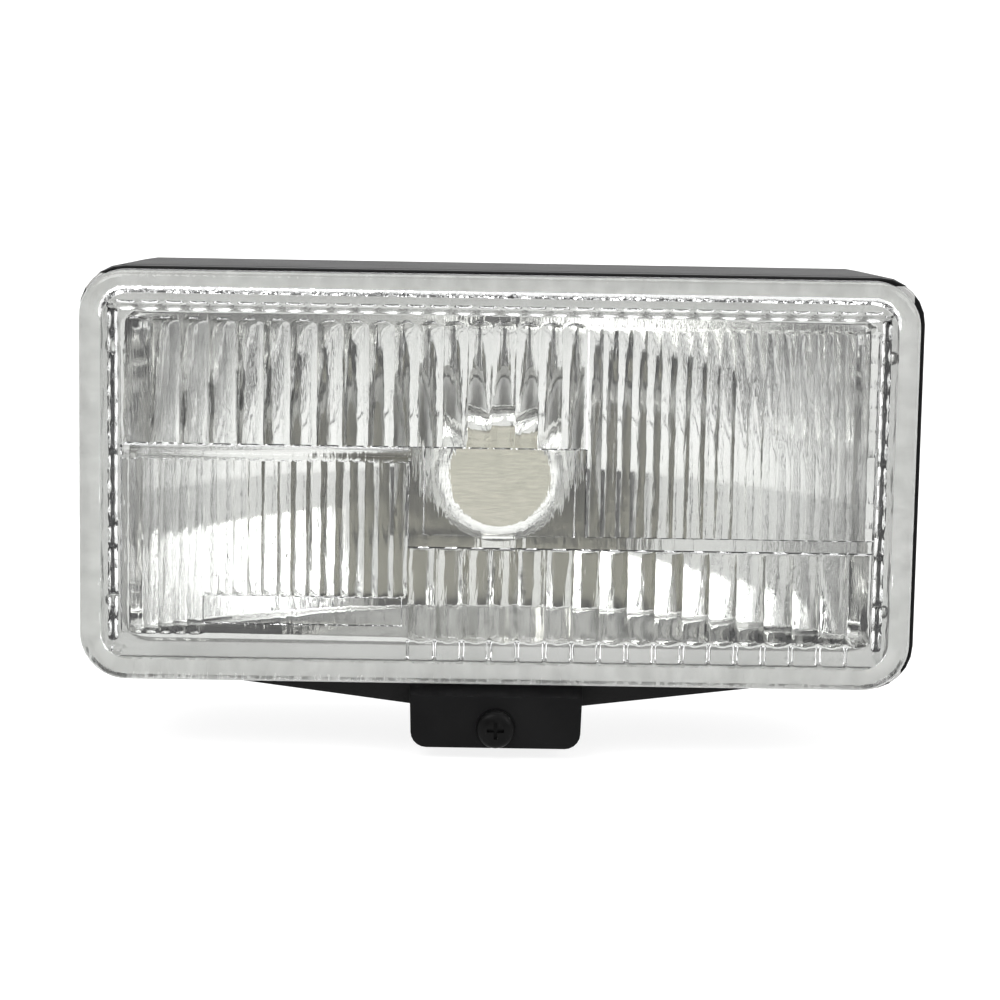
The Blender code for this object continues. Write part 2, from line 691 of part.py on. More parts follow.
def retaining_screw():
    """Pan head cross-recess screw; its origin is on its own axis."""
    head_rear = TAB_FRONT_Y - GAP
    crown = SCREW_HEAD_HEIGHT
    radius = SCREW_HEAD_RADIUS
    shank_end = SCREW_TIP_Y - head_rear
    profile = [(0, crown), (0.45 * radius, crown - 0.0001), (0.75 * radius, crown - 0.0004),
               (0.93 * radius, crown - 0.0010), (radius, crown - 0.0018), (radius, 0),
               (SCREW_RADIUS, 0), (SCREW_RADIUS, -shank_end + 0.0008), (0.0012, -shank_end),
               (0, -shank_end)]
    screw = turned("retaining_screw", profile, (0, head_rear, SCREW_Z))
    for index, rotation in enumerate((FACING_FRONT, (math.pi / 2, math.pi / 2, 0))):
        half_slot = Vector((SCREW_SLOT_HALF_LENGTH, SCREW_SLOT_HALF_WIDTH, SCREW_SLOT_DEPTH))
        slot = block("cross_slot_%d" % index, -half_slot, half_slot)
        slot.location = (0, head_rear - crown, SCREW_Z)
        slot.rotation_euler = rotation
        cut(screw, slot)
    return paint(screw, BLACK_STEEL)


def screw_retainer():
    """Push washer on the screw shank that keeps the screw in the tab."""
    rear_y = RETAINER_Y + RETAINER_THICKNESS
    washer = front_cylinder("screw_retainer", RETAINER_RADIUS, RETAINER_Y, rear_y, 0, SCREW_Z)
    cut(washer, front_cylinder("retainer_hole", SCREW_RADIUS + 0.0002, -0.03, -0.02, 0, SCREW_Z))
    return paint(washer, ZINC_STEEL)


# ---------------------------------------------------------------- reflector
def bowl_y(x, z):
    return BOWL_APEX_Y - x * x / (4 * BOWL_FOCAL_X) - z * z / (4 * BOWL_FOCAL_Z)


def bowl_half_height(x):
    """Half height of the bowl at x: the flat walls, or the line where the bowl meets its rim."""
    room = bowl_y(x, 0) - BOWL_RIM_Y
    return min(BOWL_HALF_HEIGHT, math.sqrt(4 * BOWL_FOCAL_Z * room))


def bowl_grid(work, columns=26, rows=12):
    grid = []
    for column in range(columns + 1):
        x = BOWL_HALF_WIDTH * (2 * column / columns - 1)
        limit = bowl_half_height(x)
        line = []
        for row in range(rows + 1):
            z = limit * (2 * row / rows - 1)
            line.append(work.verts.new((x, bowl_y(x, z), LENS_CENTRE_Z + z)))
        grid.append(line)
    for column in range(columns):
        for row in range(rows):
            work.faces.new((grid[column][row], grid[column + 1][row],
                            grid[column + 1][row + 1], grid[column][row + 1]))
    bottom = [line[0] for line in grid]
    right = grid[-1][1:]
    top = [line[-1] for line in reversed(grid[:-1])]
    left = list(reversed(grid[0][1:-1]))
    return bottom + right + top + left


def flange_corner(x, z):
    """Point of the rectangular flange edge in the direction of (x, z)."""
    half_w = REFLECTOR_FLANGE_WIDTH / 2
    half_h = REFLECTOR_FLANGE_HEIGHT / 2
    reach = min(half_w / max(abs(x), 1e-6), half_h / max(abs(z), 1e-6))
    return x * reach, z * reach


def reflector():
    """Bright bowl with flat walls above and below it and a flat flange round the front."""
    work = bmesh.new()
    edge = bowl_grid(work)
    mouth = []
    rim = []
    for vertex in edge:
        x = vertex.co.x
        z = vertex.co.z - LENS_CENTRE_Z
        outward = Vector((x, z)).normalized() * BOWL_DRAFT
        mouth_x = x + outward.x
        mouth_z = z + outward.y
        mouth.append(work.verts.new((mouth_x, REFLECTOR_FRONT_Y, LENS_CENTRE_Z + mouth_z)))
        flange_x, flange_z = flange_corner(mouth_x, mouth_z)
        rim.append(work.verts.new((flange_x, REFLECTOR_FRONT_Y, LENS_CENTRE_Z + flange_z)))
    for inner, outer in ((edge, mouth), (mouth, rim)):
        for index in range(len(inner)):
            after = (index + 1) % len(inner)
            work.faces.new((inner[index], outer[index], outer[after], inner[after]))
    mesh = bpy.data.meshes.new("reflector")
    work.to_mesh(mesh)
    work.free()
    bowl = make_object("reflector", mesh)
    smooth(bowl)
    thicken = bowl.modifiers.new("wall", "SOLIDIFY")
    thicken.thickness = REFLECTOR_WALL
    thicken.offset = -1
    cut(bowl, front_cylinder("reflector_hole", REFLECTOR_HOLE, 0.0, 0.04, 0, LENS_CENTRE_Z, 32))
    for x, z in reflector_screw_places():
        cut(bowl, front_cylinder("flange_screw_hole", FLANGE_SCREW_HOLE, -0.030, -0.020, x, z, 12))
    return paint(bowl, MIRROR)


def reflector_screw_places():
    places = []
    for x in (-REFLECTOR_SCREW_X, REFLECTOR_SCREW_X):
        for z in (REFLECTOR_SCREW_DROP, -REFLECTOR_SCREW_DROP):
            places.append((x, LENS_CENTRE_Z + z))
    return places


def small_screw_profile(radius, length):
    """Profile of a round head screw whose shank points along local +Z."""
    head = SMALL_SCREW_HEAD_RADIUS
    crown = SMALL_SCREW_HEAD_HEIGHT
    return [(0, length), (0.8 * radius, length - 0.0002), (radius, length - 0.0006), (radius, 0),
            (head, 0), (head, -0.5 * crown), (0.65 * head, -0.9 * crown), (0, -crown)]


def reflector_screw(number, x, z):
    place = (x, REFLECTOR_FRONT_Y + REFLECTOR_WALL + GAP, z)
    profile = small_screw_profile(FLANGE_SCREW_RADIUS, FLANGE_SCREW_LENGTH)
    screw = turned("reflector_screw_%d" % number, profile, place, FACING_FRONT, 16)
    return paint(screw, ZINC_STEEL)


# ---------------------------------------------------------------- bulb and what holds it
def bulb_holder():
    """Turned steel cup in the reflector hole; the bulb flange seats in it from behind."""
    front = HOLDER_REAR_Y - HOLDER_FRONT_Y
    wall = HOLDER_WALL
    profile = [(HOLDER_RADIUS, front), (HOLDER_RADIUS, wall), (HOLDER_FLANGE_RADIUS, wall),
               (HOLDER_FLANGE_RADIUS, 0), (HOLDER_POCKET, 0), (HOLDER_POCKET, front - wall),
               (HOLDER_BORE, front - wall), (HOLDER_BORE, front)]
    holder = turned("bulb_holder", profile, (0, HOLDER_REAR_Y, LENS_CENTRE_Z), FACING_FRONT, 32, True)
    rivet_hole = front_cylinder("holder_rivet_hole", SMALL_SCREW_HOLE, 0.010, 0.017, 0,
                                LENS_CENTRE_Z - SHIELD_RIVET_DROP, 12)
    cut(holder, rivet_hole)
    screw_hole = front_cylinder("holder_screw_hole", SMALL_SCREW_HOLE, 0.018, 0.026, CLIP_AXIS_X,
                                LENS_CENTRE_Z, 12)
    cut(holder, screw_hole)
    return paint(holder, ZINC_STEEL)


def bulb_flange():
    flange_top = 0.0010
    hub = BULB_HUB_REAR_Y - BULB_FLANGE_Y
    profile = [(0, 0), (BULB_FLANGE_RADIUS, 0), (BULB_FLANGE_RADIUS, -flange_top),
               (BULB_HUB_RADIUS, -flange_top), (BULB_HUB_RADIUS, -hub + 0.0005),
               (BULB_HUB_RADIUS - 0.0005, -hub), (0, -hub)]
    flange = turned("bulb_flange", profile, (0, BULB_FLANGE_Y, LENS_CENTRE_Z), FACING_FRONT, 24)
    return paint(flange, ZINC_STEEL)


def bulb_capsule():
    """Glass envelope, closed at the tip and open where it is sealed to the flange."""
    base_y = BULB_FLANGE_Y - GAP
    length = base_y - CAPSULE_TIP_Y
    outer = []
    inner = []
    steps = 5
    for step in range(steps + 1):
        angle = math.pi / 2 * step / steps
        outer.append((CAPSULE_RADIUS * math.sin(angle),
                      length - CAPSULE_RADIUS * (1 - math.cos(angle))))
        radius = CAPSULE_RADIUS - CAPSULE_WALL
        inner.append((radius * math.sin(angle), length - CAPSULE_WALL - radius * (1 - math.cos(angle))))
    profile = outer + [(CAPSULE_RADIUS, 0), (CAPSULE_RADIUS - CAPSULE_WALL, 0)] + inner[::-1]
    capsule = turned("bulb_capsule", profile, (0, base_y, LENS_CENTRE_Z), FACING_FRONT, 20)
    return paint(capsule, GLASS)


def bulb_filament():
    """Two posts with a transverse coil between them."""
    half = FILAMENT_HALF_LENGTH
    post_y = BULB_FLANGE_Y - 0.0008
    turns = 6
    per_turn = 8
    coil_radius = FILAMENT_COIL_RADIUS
    points = [(-half, post_y, LENS_CENTRE_Z), (-half, FILAMENT_Y, LENS_CENTRE_Z)]
    count = turns * per_turn
    for step in range(1, count):
        angle = 2 * math.pi * step / per_turn
        x = -half + 2 * half * step / count
        points.append((x, FILAMENT_Y + coil_radius * (math.cos(angle) - 1),
                       LENS_CENTRE_Z + coil_radius * math.sin(angle)))
    points += [(half, FILAMENT_Y, LENS_CENTRE_Z), (half, post_y, LENS_CENTRE_Z)]
    return paint(wire("bulb_filament", points, FILAMENT_WIRE), TUNGSTEN)


def bulb_lead():
    """Short insulated tail of the bulb, bent up to its terminal."""
    start_y = BULB_HUB_REAR_Y + GAP
    points = [(0, start_y, LENS_CENTRE_Z)]
    steps = 5
    for step in range(steps + 1):
        angle = math.pi / 2 * step / steps
        points.append((0, start_y + LEAD_STRAIGHT + LEAD_BEND * math.sin(angle),
                       LENS_CENTRE_Z + LEAD_BEND * (1 - math.cos(angle))))
    points.append((0, start_y + LEAD_STRAIGHT + LEAD_BEND, LENS_CENTRE_Z + LEAD_RISE))
    return paint(wire("bulb_lead", points, LEAD_RADIUS), RED_WIRE)


def lead_terminal():
    """Receptacle crimped on the end of the bulb's tail."""
    centre_y = BULB_HUB_REAR_Y + GAP + LEAD_STRAIGHT + LEAD_BEND
    low_z = LENS_CENTRE_Z + LEAD_RISE + GAP
    high_z = low_z + TERMINAL_LENGTH
    terminal = block("lead_terminal", (-TERMINAL_HALF_WIDTH, centre_y - TERMINAL_HALF_DEPTH, low_z),
                     (TERMINAL_HALF_WIDTH, centre_y + TERMINAL_HALF_DEPTH, high_z))
    bevel(terminal, 0.0004, 1)
    slot = block("lead_terminal_slot",
                 (-TERMINAL_SLOT_HALF_WIDTH, centre_y - TERMINAL_SLOT_HALF_DEPTH, low_z + 0.004),
                 (TERMINAL_SLOT_HALF_WIDTH, centre_y + TERMINAL_SLOT_HALF_DEPTH, high_z + 0.005))
    cut(terminal, slot)
    return paint(terminal, BRASS)


def bulb_shield():
    """Cup in front of the bulb that stops direct light, with one leg back to the holder."""
    radius = SHIELD_RADIUS
    wall = SHIELD_WALL
    round_edge = SHIELD_ROUND_EDGE
    outer = []
    inner = []
    steps = 4
    for step in range(steps + 1):
        angle = math.pi / 2 * step / steps
        outer.append((radius - round_edge * (1 - math.sin(angle)), -round_edge * (1 - math.cos(angle))))
        inner.append((radius - round_edge + (round_edge - wall) * math.sin(angle),
                      -round_edge + (round_edge - wall) * math.cos(angle)))
    profile = [(0, 0)] + outer + [(radius, -SHIELD_DEPTH), (radius - wall, -SHIELD_DEPTH)]
    profile += inner[::-1] + [(0, -wall)]
    shield = turned("bulb_shield", profile, (0, SHIELD_FRONT_Y, LENS_CENTRE_Z), FACING_FRONT, 32)
    leg_z = LENS_CENTRE_Z - SHIELD_LEG_DROP
    foot_y = HOLDER_FRONT_Y - GAP
    leg = block("shield_leg", (-SHIELD_LEG_HALF_WIDTH, SHIELD_FRONT_Y + 0.0004, leg_z),
                (SHIELD_LEG_HALF_WIDTH, foot_y, leg_z + SHIELD_WALL))
    join(shield, leg)
    foot = block("shield_foot", (-SHIELD_LEG_HALF_WIDTH, foot_y - SHIELD_WALL, leg_z - 0.0036),
                 (SHIELD_LEG_HALF_WIDTH, foot_y, leg_z + 0.0006))
    join(shield, foot)
    cut(shield, front_cylinder("foot_rivet_hole", SMALL_SCREW_HOLE, 0.010, 0.017, 0,
                               LENS_CENTRE_Z - SHIELD_RIVET_DROP, 12))
    return paint(shield, SATIN_STEEL)


def shield_rivet():
    """Rivet that fixes the shield's foot to the bulb holder."""
    seat_y = HOLDER_FRONT_Y - GAP - SHIELD_WALL - GAP
    profile = [(0, 0.0007), (0.65 * RIVET_HEAD_RADIUS, 0.0005), (RIVET_HEAD_RADIUS, 0),
               (RIVET_RADIUS, 0), (RIVET_RADIUS, -RIVET_LENGTH), (0, -RIVET_LENGTH)]
    place = (0, seat_y, LENS_CENTRE_Z - SHIELD_RIVET_DROP)
    return paint(turned("shield_rivet", profile, place, FACING_FRONT, 16), ZINC_STEEL)


def clip_bracket():
    """Small fork on the holder that the wire clip hooks into."""
    base_y = HOLDER_REAR_Y + GAP
    half_w = CLIP_BRACKET_HALF_WIDTH
    half_h = CLIP_BRACKET_HALF_HEIGHT
    base = block("clip_bracket", (CLIP_AXIS_X - half_w, base_y, LENS_CENTRE_Z - half_h),
                 (CLIP_AXIS_X + half_w, base_y + SHEET, LENS_CENTRE_Z + half_h))
    for side in (-1, 1):
        centre_z = LENS_CENTRE_Z + side * (half_h - SHEET / 2)
        ear = block("clip_ear", (CLIP_AXIS_X - 0.0020, base_y + 0.0001, centre_z - SHEET / 2),
                    (CLIP_AXIS_X + 0.0020, CLIP_AXIS_Y + 0.0018, centre_z + SHEET / 2))
        join(base, ear)
    pin_hole = cylinder("clip_ear_hole", CLIP_WIRE + 0.0002, 0.030,
                        (CLIP_AXIS_X, CLIP_AXIS_Y, LENS_CENTRE_Z), FACING_UP, 12)
    cut(base, pin_hole)
    cut(base, front_cylinder("clip_screw_hole", SMALL_SCREW_HOLE, 0.018, 0.024, CLIP_AXIS_X,
                             LENS_CENTRE_Z, 12))
    return paint(base, ZINC_STEEL)


def clip_screw():
    place = (CLIP_AXIS_X, HOLDER_REAR_Y + GAP + SHEET + GAP, LENS_CENTRE_Z)
    profile = small_screw_profile(CLIP_SCREW_RADIUS, CLIP_SCREW_LENGTH)
    return paint(turned("clip_screw", profile, place, FACING_FRONT, 16), ZINC_STEEL)


def bulb_clip():
    """Wire spring clip: hooked in the fork, pressed on the bulb flange, latched opposite."""
    arm = CLIP_ARM_Z
    hook = CLIP_HOOK_Z
    press_y = BULB_FLANGE_Y + 0.0010 + GAP + CLIP_WIRE
    free_y = HOLDER_REAR_Y + GAP + CLIP_WIRE
    half_path = [(CLIP_AXIS_X, CLIP_AXIS_Y, 0.0040), (CLIP_AXIS_X, CLIP_AXIS_Y, hook),
                 (-0.0155, free_y + 0.0010, hook), (-0.0138, free_y, arm), (-0.0100, press_y, arm),
                 (0.0100, press_y, arm), (0.0138, free_y, arm), (0.0160, free_y, arm),
                 (0.0235, free_y, 0.0035)]
    points = [(x, y, LENS_CENTRE_Z + z) for x, y, z in half_path]
    points += [(x, y, LENS_CENTRE_Z - z) for x, y, z in reversed(half_path)]
    return paint(wire("bulb_clip", points, CLIP_WIRE), SPRING_STEEL)


def earth_terminal():
    """Spade tongue on the flange of the bulb holder for the earth wire."""
    seat_y = HOLDER_REAR_Y + GAP
    left_x, right_x = EARTH_TAB_X
    tongue = block("earth_terminal", (left_x, seat_y, LENS_CENTRE_Z + EARTH_TAB_FOOT_Z),
                   (right_x, seat_y + SHEET, LENS_CENTRE_Z + EARTH_TAB_BEND_Z))
    blade = block("earth_blade", (left_x, seat_y + GAP, LENS_CENTRE_Z + EARTH_TAB_BEND_Z - 0.0005),
                  (right_x, seat_y + GAP + SHEET, LENS_CENTRE_Z + EARTH_TAB_TIP_Z))
    join(tongue, blade)
    eye = cylinder("earth_blade_eye", EARTH_TAB_EYE, 0.02,
                   ((left_x + right_x) / 2, seat_y, LENS_CENTRE_Z + EARTH_TAB_EYE_Z),
                   FACING_FRONT, 12)
    cut(tongue, eye)
    return paint(tongue, BRASS)


def build():
    mounting_bracket()
    for label, side in (("left", -1), ("right", 1)):
        pivot_screw("pivot_screw_" + label, side)
        pivot_washer("pivot_washer_" + label, side)
        pivot_insert("pivot_insert_" + label, side)
    rear_housing()
    housing_seal()
    captive_nut()
    cable_grommet()
    lens_glass()
    lens_seal()
    lens_frame()
    retaining_screw()
    screw_retainer()
    reflector()
    for number, (x, z) in enumerate(reflector_screw_places(), start=1):
        reflector_screw(number, x, z)
    bulb_holder()
    bulb_flange()
    bulb_capsule()
    bulb_filament()
    bulb_lead()
    lead_terminal()
    bulb_shield()
    shield_rivet()
    clip_bracket()
    clip_screw()
    bulb_clip()
    earth_terminal()


clear_scene()
PARTS = make_collection("fog_light")
CUTTERS = make_collection("cutters")
BLACK_PLASTIC = make_material("black_plastic", (0.025, 0.025, 0.027), 0.45)
RUBBER = make_material("rubber", (0.02, 0.02, 0.02), 0.75)
BLACK_STEEL = make_material("black_steel", (0.03, 0.03, 0.03), 0.4, 0.6)
ZINC_STEEL = make_material("zinc_steel", (0.62, 0.62, 0.60), 0.35, 1.0)
SATIN_STEEL = make_material("satin_steel", (0.72, 0.70, 0.62), 0.30, 1.0)
SPRING_STEEL = make_material("spring_steel", (0.50, 0.50, 0.50), 0.30, 1.0)
MIRROR = make_material("mirror", (0.90, 0.90, 0.90), 0.05, 1.0)
GLASS = make_material("glass", (1.0, 1.0, 1.0), 0.02, 0.0, 1.0)
BRASS = make_material("brass", (0.78, 0.62, 0.30), 0.35, 1.0)
TUNGSTEN = make_material("tungsten", (0.45, 0.45, 0.47), 0.40, 1.0)
RED_WIRE = make_material("red_wire", (0.50, 0.03, 0.02), 0.50)
build()
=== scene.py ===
"""Looks of the rectangular fog light: fluted lens, bright bowl, moulded black plastic, plated steel."""
import math

import bmesh
import bpy
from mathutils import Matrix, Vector


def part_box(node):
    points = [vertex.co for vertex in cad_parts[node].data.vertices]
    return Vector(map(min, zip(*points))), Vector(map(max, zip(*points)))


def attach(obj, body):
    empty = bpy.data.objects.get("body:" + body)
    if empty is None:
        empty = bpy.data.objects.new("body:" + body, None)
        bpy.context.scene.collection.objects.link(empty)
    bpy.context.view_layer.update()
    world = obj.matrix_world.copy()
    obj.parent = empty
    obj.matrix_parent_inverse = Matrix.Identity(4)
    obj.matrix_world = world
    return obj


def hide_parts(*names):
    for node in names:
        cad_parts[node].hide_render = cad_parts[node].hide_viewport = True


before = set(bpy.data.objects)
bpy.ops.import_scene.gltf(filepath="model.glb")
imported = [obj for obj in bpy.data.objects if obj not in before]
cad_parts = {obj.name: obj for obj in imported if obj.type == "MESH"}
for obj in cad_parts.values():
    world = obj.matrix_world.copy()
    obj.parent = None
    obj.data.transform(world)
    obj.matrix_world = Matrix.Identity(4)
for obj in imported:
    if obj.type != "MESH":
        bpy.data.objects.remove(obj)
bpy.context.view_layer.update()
MM = 0.001

# Dimensions of the materials, in metres.
COATED_INSET = 0.0012          # the coating starts this far inside the edge of the glass
COATED_REAR_Y = -0.0252        # and ends at this depth
BARE_SIDE_X = 0.0836           # uncoated lines beside and above the bowl
BARE_SIDE_HALF_WIDTH = 0.0005
BARE_SIDE_HALF_LENGTH = 0.0365
BARE_TOP_Z = 0.0401
BARE_TOP_HALF_WIDTH = 0.0003
BARE_TOP_HALF_LENGTH = 0.0740
REFLECTOR_FLANGE_Y = -0.0240   # the flange of the bowl is in front of this
PAINTED_HIGHLIGHT_RADIUS = 0.0112       # the shield is painted brighter outside this radius, a painted highlight on the rolled edge

LENS_LOW, LENS_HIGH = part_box("lens_glass")
LENS_CENTRE_X = (LENS_LOW.x + LENS_HIGH.x) / 2
LENS_CENTRE_Z = (LENS_LOW.z + LENS_HIGH.z) / 2
LENS_HALF_W = (LENS_HIGH.x - LENS_LOW.x) / 2
LENS_HALF_H = (LENS_HIGH.z - LENS_LOW.z) / 2
LENS_FRONT_Y = LENS_LOW.y
LENS_REAR_Y = LENS_HIGH.y


# ---------------------------------------------------------------- node helpers
def new_material(name):
    material = bpy.data.materials.new(name)
    material.use_nodes = True
    tree = material.node_tree
    return material, tree, tree.nodes["Principled BSDF"]


def add_node(tree, kind, **inputs):
    node = tree.nodes.new(kind)
    for key, value in inputs.items():
        node.inputs[key.replace("_", " ")].default_value = value
    return node


def noise(tree, scale, detail=3.0, roughness=0.5, stretch=(1, 1, 1)):
    """Noise on object coordinates, in metres, stretched along the axes."""
    place = tree.nodes.new("ShaderNodeTexCoord")
    mapping = tree.nodes.new("ShaderNodeMapping")
    mapping.inputs["Scale"].default_value = stretch
    texture = add_node(tree, "ShaderNodeTexNoise", Scale=scale, Detail=detail, Roughness=roughness)
    tree.links.new(place.outputs["Object"], mapping.inputs["Vector"])
    tree.links.new(mapping.outputs["Vector"], texture.inputs["Vector"])
    return texture.outputs["Fac"]


def ramp(tree, source, low, high, start=0.3, end=0.7):
    """Blend between two colours as the source goes from start to end."""
    node = tree.nodes.new("ShaderNodeValToRGB")
    node.color_ramp.elements[0].position = start
    node.color_ramp.elements[0].color = (*low, 1)
    node.color_ramp.elements[1].position = end
    node.color_ramp.elements[1].color = (*high, 1)
    tree.links.new(source, node.inputs["Fac"])
    return node.outputs["Color"]


def spread(tree, source, low, high):
    """Map the source from 0..1 to low..high."""
    node = tree.nodes.new("ShaderNodeMapRange")
    node.inputs["To Min"].default_value = low
    node.inputs["To Max"].default_value = high
    tree.links.new(source, node.inputs["Value"])
    return node.outputs["Result"]


def bump(tree, shader, source, height, strength=1.0):
    node = tree.nodes.new("ShaderNodeBump")
    node.inputs["Distance"].default_value = height
    node.inputs["Strength"].default_value = strength
    tree.links.new(source, node.inputs["Height"])
    tree.links.new(node.outputs["Normal"], shader.inputs["Normal"])


# ---------------------------------------------------------------- materials
def black_plastic():
    material, tree, shader = new_material("moulded_black_plastic")
    cloud = noise(tree, 90, 4)
    grain = noise(tree, 2600, 2, 0.6)
    tree.links.new(ramp(tree, cloud, (0.0035, 0.0035, 0.0037), (0.0065, 0.0065, 0.0067)),
                   shader.inputs["Base Color"])
    tree.links.new(spread(tree, cloud, 0.34, 0.46), shader.inputs["Roughness"])
    shader.inputs["Specular IOR Level"].default_value = 0.07
    bump(tree, shader, grain, 0.00006, 0.5)
    return material


def object_axes(tree):
    """Separate X, Y and Z outputs of the object coordinates."""
    place = tree.nodes.new("ShaderNodeTexCoord")
    axes = tree.nodes.new("ShaderNodeSeparateXYZ")
    tree.links.new(place.outputs["Object"], axes.inputs["Vector"])
    return axes


def two_tone(tree, factor, first, second):
    """The first colour where the factor is 0, the second where it is 1."""
    colour = tree.nodes.new("ShaderNodeMix")
    colour.data_type = "RGBA"
    tree.links.new(factor, colour.inputs["Factor"])
    tree.links.new(first, colour.inputs["A"])
    tree.links.new(second, colour.inputs["B"])
    return colour.outputs["Result"]


def inside_edge(tree, coordinate, centre, half):
    """1 where the coordinate is within half of the centre, else 0."""
    away = add_math(tree, "SUBTRACT", coordinate, centre)
    return add_math(tree, "LESS_THAN", add_math(tree, "ABSOLUTE", away), half)


def add_math(tree, operation, first, second=None):
    node = tree.nodes.new("ShaderNodeMath")
    node.operation = operation
    for socket, value in zip(node.inputs, (first, second)):
        if isinstance(value, bpy.types.NodeSocket):
            tree.links.new(value, socket)
        elif value is not None:
            socket.default_value = value
    return node.outputs[0]


def frame_plastic():
    """Black plastic whose front, behind the glass, has the same bright coating as the bowl."""
    material = black_plastic()
    material.name = "part_coated_plastic"
    tree = material.node_tree
    plastic = tree.nodes["Principled BSDF"]
    coating = tree.nodes.new("ShaderNodeBsdfPrincipled")
    coating.inputs["Metallic"].default_value = 1.0
    cloud = noise(tree, 50, 3)
    tree.links.new(ramp(tree, cloud, (0.36, 0.36, 0.35), (0.46, 0.46, 0.45)),
                   coating.inputs["Base Color"])
    tree.links.new(spread(tree, cloud, 0.16, 0.30), coating.inputs["Roughness"])
    axes = object_axes(tree)
    within_x = inside_edge(tree, axes.outputs["X"], LENS_CENTRE_X, LENS_HALF_W - COATED_INSET)
    within_z = inside_edge(tree, axes.outputs["Z"], LENS_CENTRE_Z, LENS_HALF_H - COATED_INSET)
    in_front = add_math(tree, "LESS_THAN", axes.outputs["Y"], COATED_REAR_Y)
    covered = add_math(tree, "MULTIPLY", add_math(tree, "MULTIPLY", within_x, within_z), in_front)
    away = add_math(tree, "ABSOLUTE", add_math(tree, "SUBTRACT", axes.outputs["X"], LENS_CENTRE_X))
    side_x = inside_edge(tree, away, BARE_SIDE_X, BARE_SIDE_HALF_WIDTH)
    side_z = inside_edge(tree, axes.outputs["Z"], LENS_CENTRE_Z, BARE_SIDE_HALF_LENGTH)
    top_z = inside_edge(tree, axes.outputs["Z"], LENS_CENTRE_Z + BARE_TOP_Z, BARE_TOP_HALF_WIDTH)
    top_x = inside_edge(tree, axes.outputs["X"], LENS_CENTRE_X, BARE_TOP_HALF_LENGTH)
    bare_line = add_math(tree, "MAXIMUM", add_math(tree, "MULTIPLY", side_x, side_z),
                         add_math(tree, "MULTIPLY", top_z, top_x))
    covered = add_math(tree, "SUBTRACT", covered, bare_line)
    mixed = tree.nodes.new("ShaderNodeMixShader")
    output = tree.nodes["Material Output"]
    tree.links.new(covered, mixed.inputs["Fac"])
    tree.links.new(plastic.outputs["BSDF"], mixed.inputs[1])
    tree.links.new(coating.outputs["BSDF"], mixed.inputs[2])
    tree.links.new(mixed.outputs["Shader"], output.inputs["Surface"])
    return material


def glass_sealant():
    """Pale translucent adhesive seen through the rim of the glass."""
    material, tree, shader = new_material("pale_sealant")
    cloud = noise(tree, 260, 3)
    tree.links.new(ramp(tree, cloud, (0.62, 0.62, 0.60), (0.78, 0.78, 0.76)),
                   shader.inputs["Base Color"])
    tree.links.new(spread(tree, cloud, 0.3, 0.5), shader.inputs["Roughness"])
    return material


def housing_plastic():
    material, tree, shader = new_material("grained_housing_plastic")
    cloud = noise(tree, 60, 4)
    grain = noise(tree, 1700, 3, 0.65)
    tree.links.new(ramp(tree, cloud, (0.005, 0.005, 0.005), (0.010, 0.010, 0.010)),
                   shader.inputs["Base Color"])
    tree.links.new(spread(tree, cloud, 0.40, 0.55), shader.inputs["Roughness"])
    shader.inputs["Specular IOR Level"].default_value = 0.12
    bump(tree, shader, grain, 0.00016, 0.8)
    return material


def rubber():
    material, tree, shader = new_material("black_rubber")
    cloud = noise(tree, 400, 3)
    tree.links.new(ramp(tree, cloud, (0.012, 0.012, 0.012), (0.026, 0.025, 0.024)),
                   shader.inputs["Base Color"])
    tree.links.new(spread(tree, cloud, 0.65, 0.85), shader.inputs["Roughness"])
    bump(tree, shader, noise(tree, 3000, 2), 0.00005, 0.5)
    return material


def metal(name, dark, light, rough, stretch=(1, 1, 1), scale=500, height=0.00002):
    material, tree, shader = new_material(name)
    shader.inputs["Metallic"].default_value = 1.0
    streak = noise(tree, scale, 4, 0.6, stretch)
    tree.links.new(ramp(tree, streak, dark, light), shader.inputs["Base Color"])
    tree.links.new(spread(tree, streak, rough * 0.75, rough * 1.35), shader.inputs["Roughness"])
    bump(tree, shader, streak, height, 0.5)
    return material


def black_steel():
    material, tree, shader = new_material("black_coated_steel")
    cloud = noise(tree, 300, 4)
    tree.links.new(ramp(tree, cloud, (0.003, 0.003, 0.003), (0.007, 0.007, 0.007)),
                   shader.inputs["Base Color"])
    tree.links.new(spread(tree, cloud, 0.22, 0.38), shader.inputs["Roughness"])
    shader.inputs["Specular IOR Level"].default_value = 0.06
    bump(tree, shader, noise(tree, 1800, 3), 0.00003, 0.5)
    return material


def mirror_coating():
    material, tree, shader = new_material("aluminised_bowl")
    shader.inputs["Metallic"].default_value = 1.0
    cloud = noise(tree, 35, 3)
    bowl = ramp(tree, cloud, (0.655, 0.655, 0.64), (0.735, 0.735, 0.725))
    edge = ramp(tree, cloud, (0.49, 0.49, 0.48), (0.59, 0.59, 0.58))
    axes = object_axes(tree)
    on_flange = add_math(tree, "LESS_THAN", axes.outputs["Y"], REFLECTOR_FLANGE_Y)
    tree.links.new(two_tone(tree, on_flange, bowl, edge), shader.inputs["Base Color"])
    tree.links.new(spread(tree, cloud, 0.03, 0.06), shader.inputs["Roughness"])
    bump(tree, shader, noise(tree, 90, 2), 0.00020, 0.30)
    return material


def dull_back():
    """Grey sprayed back of the bowl."""
    material, tree, shader = new_material("sprayed_bowl_back")
    shader.inputs["Metallic"].default_value = 0.8
    cloud = noise(tree, 120, 4)
    tree.links.new(ramp(tree, cloud, (0.20, 0.20, 0.20), (0.30, 0.30, 0.29)),
                   shader.inputs["Base Color"])
    tree.links.new(spread(tree, cloud, 0.42, 0.60), shader.inputs["Roughness"])
    bump(tree, shader, noise(tree, 1500, 3), 0.00004, 0.5)
    return material


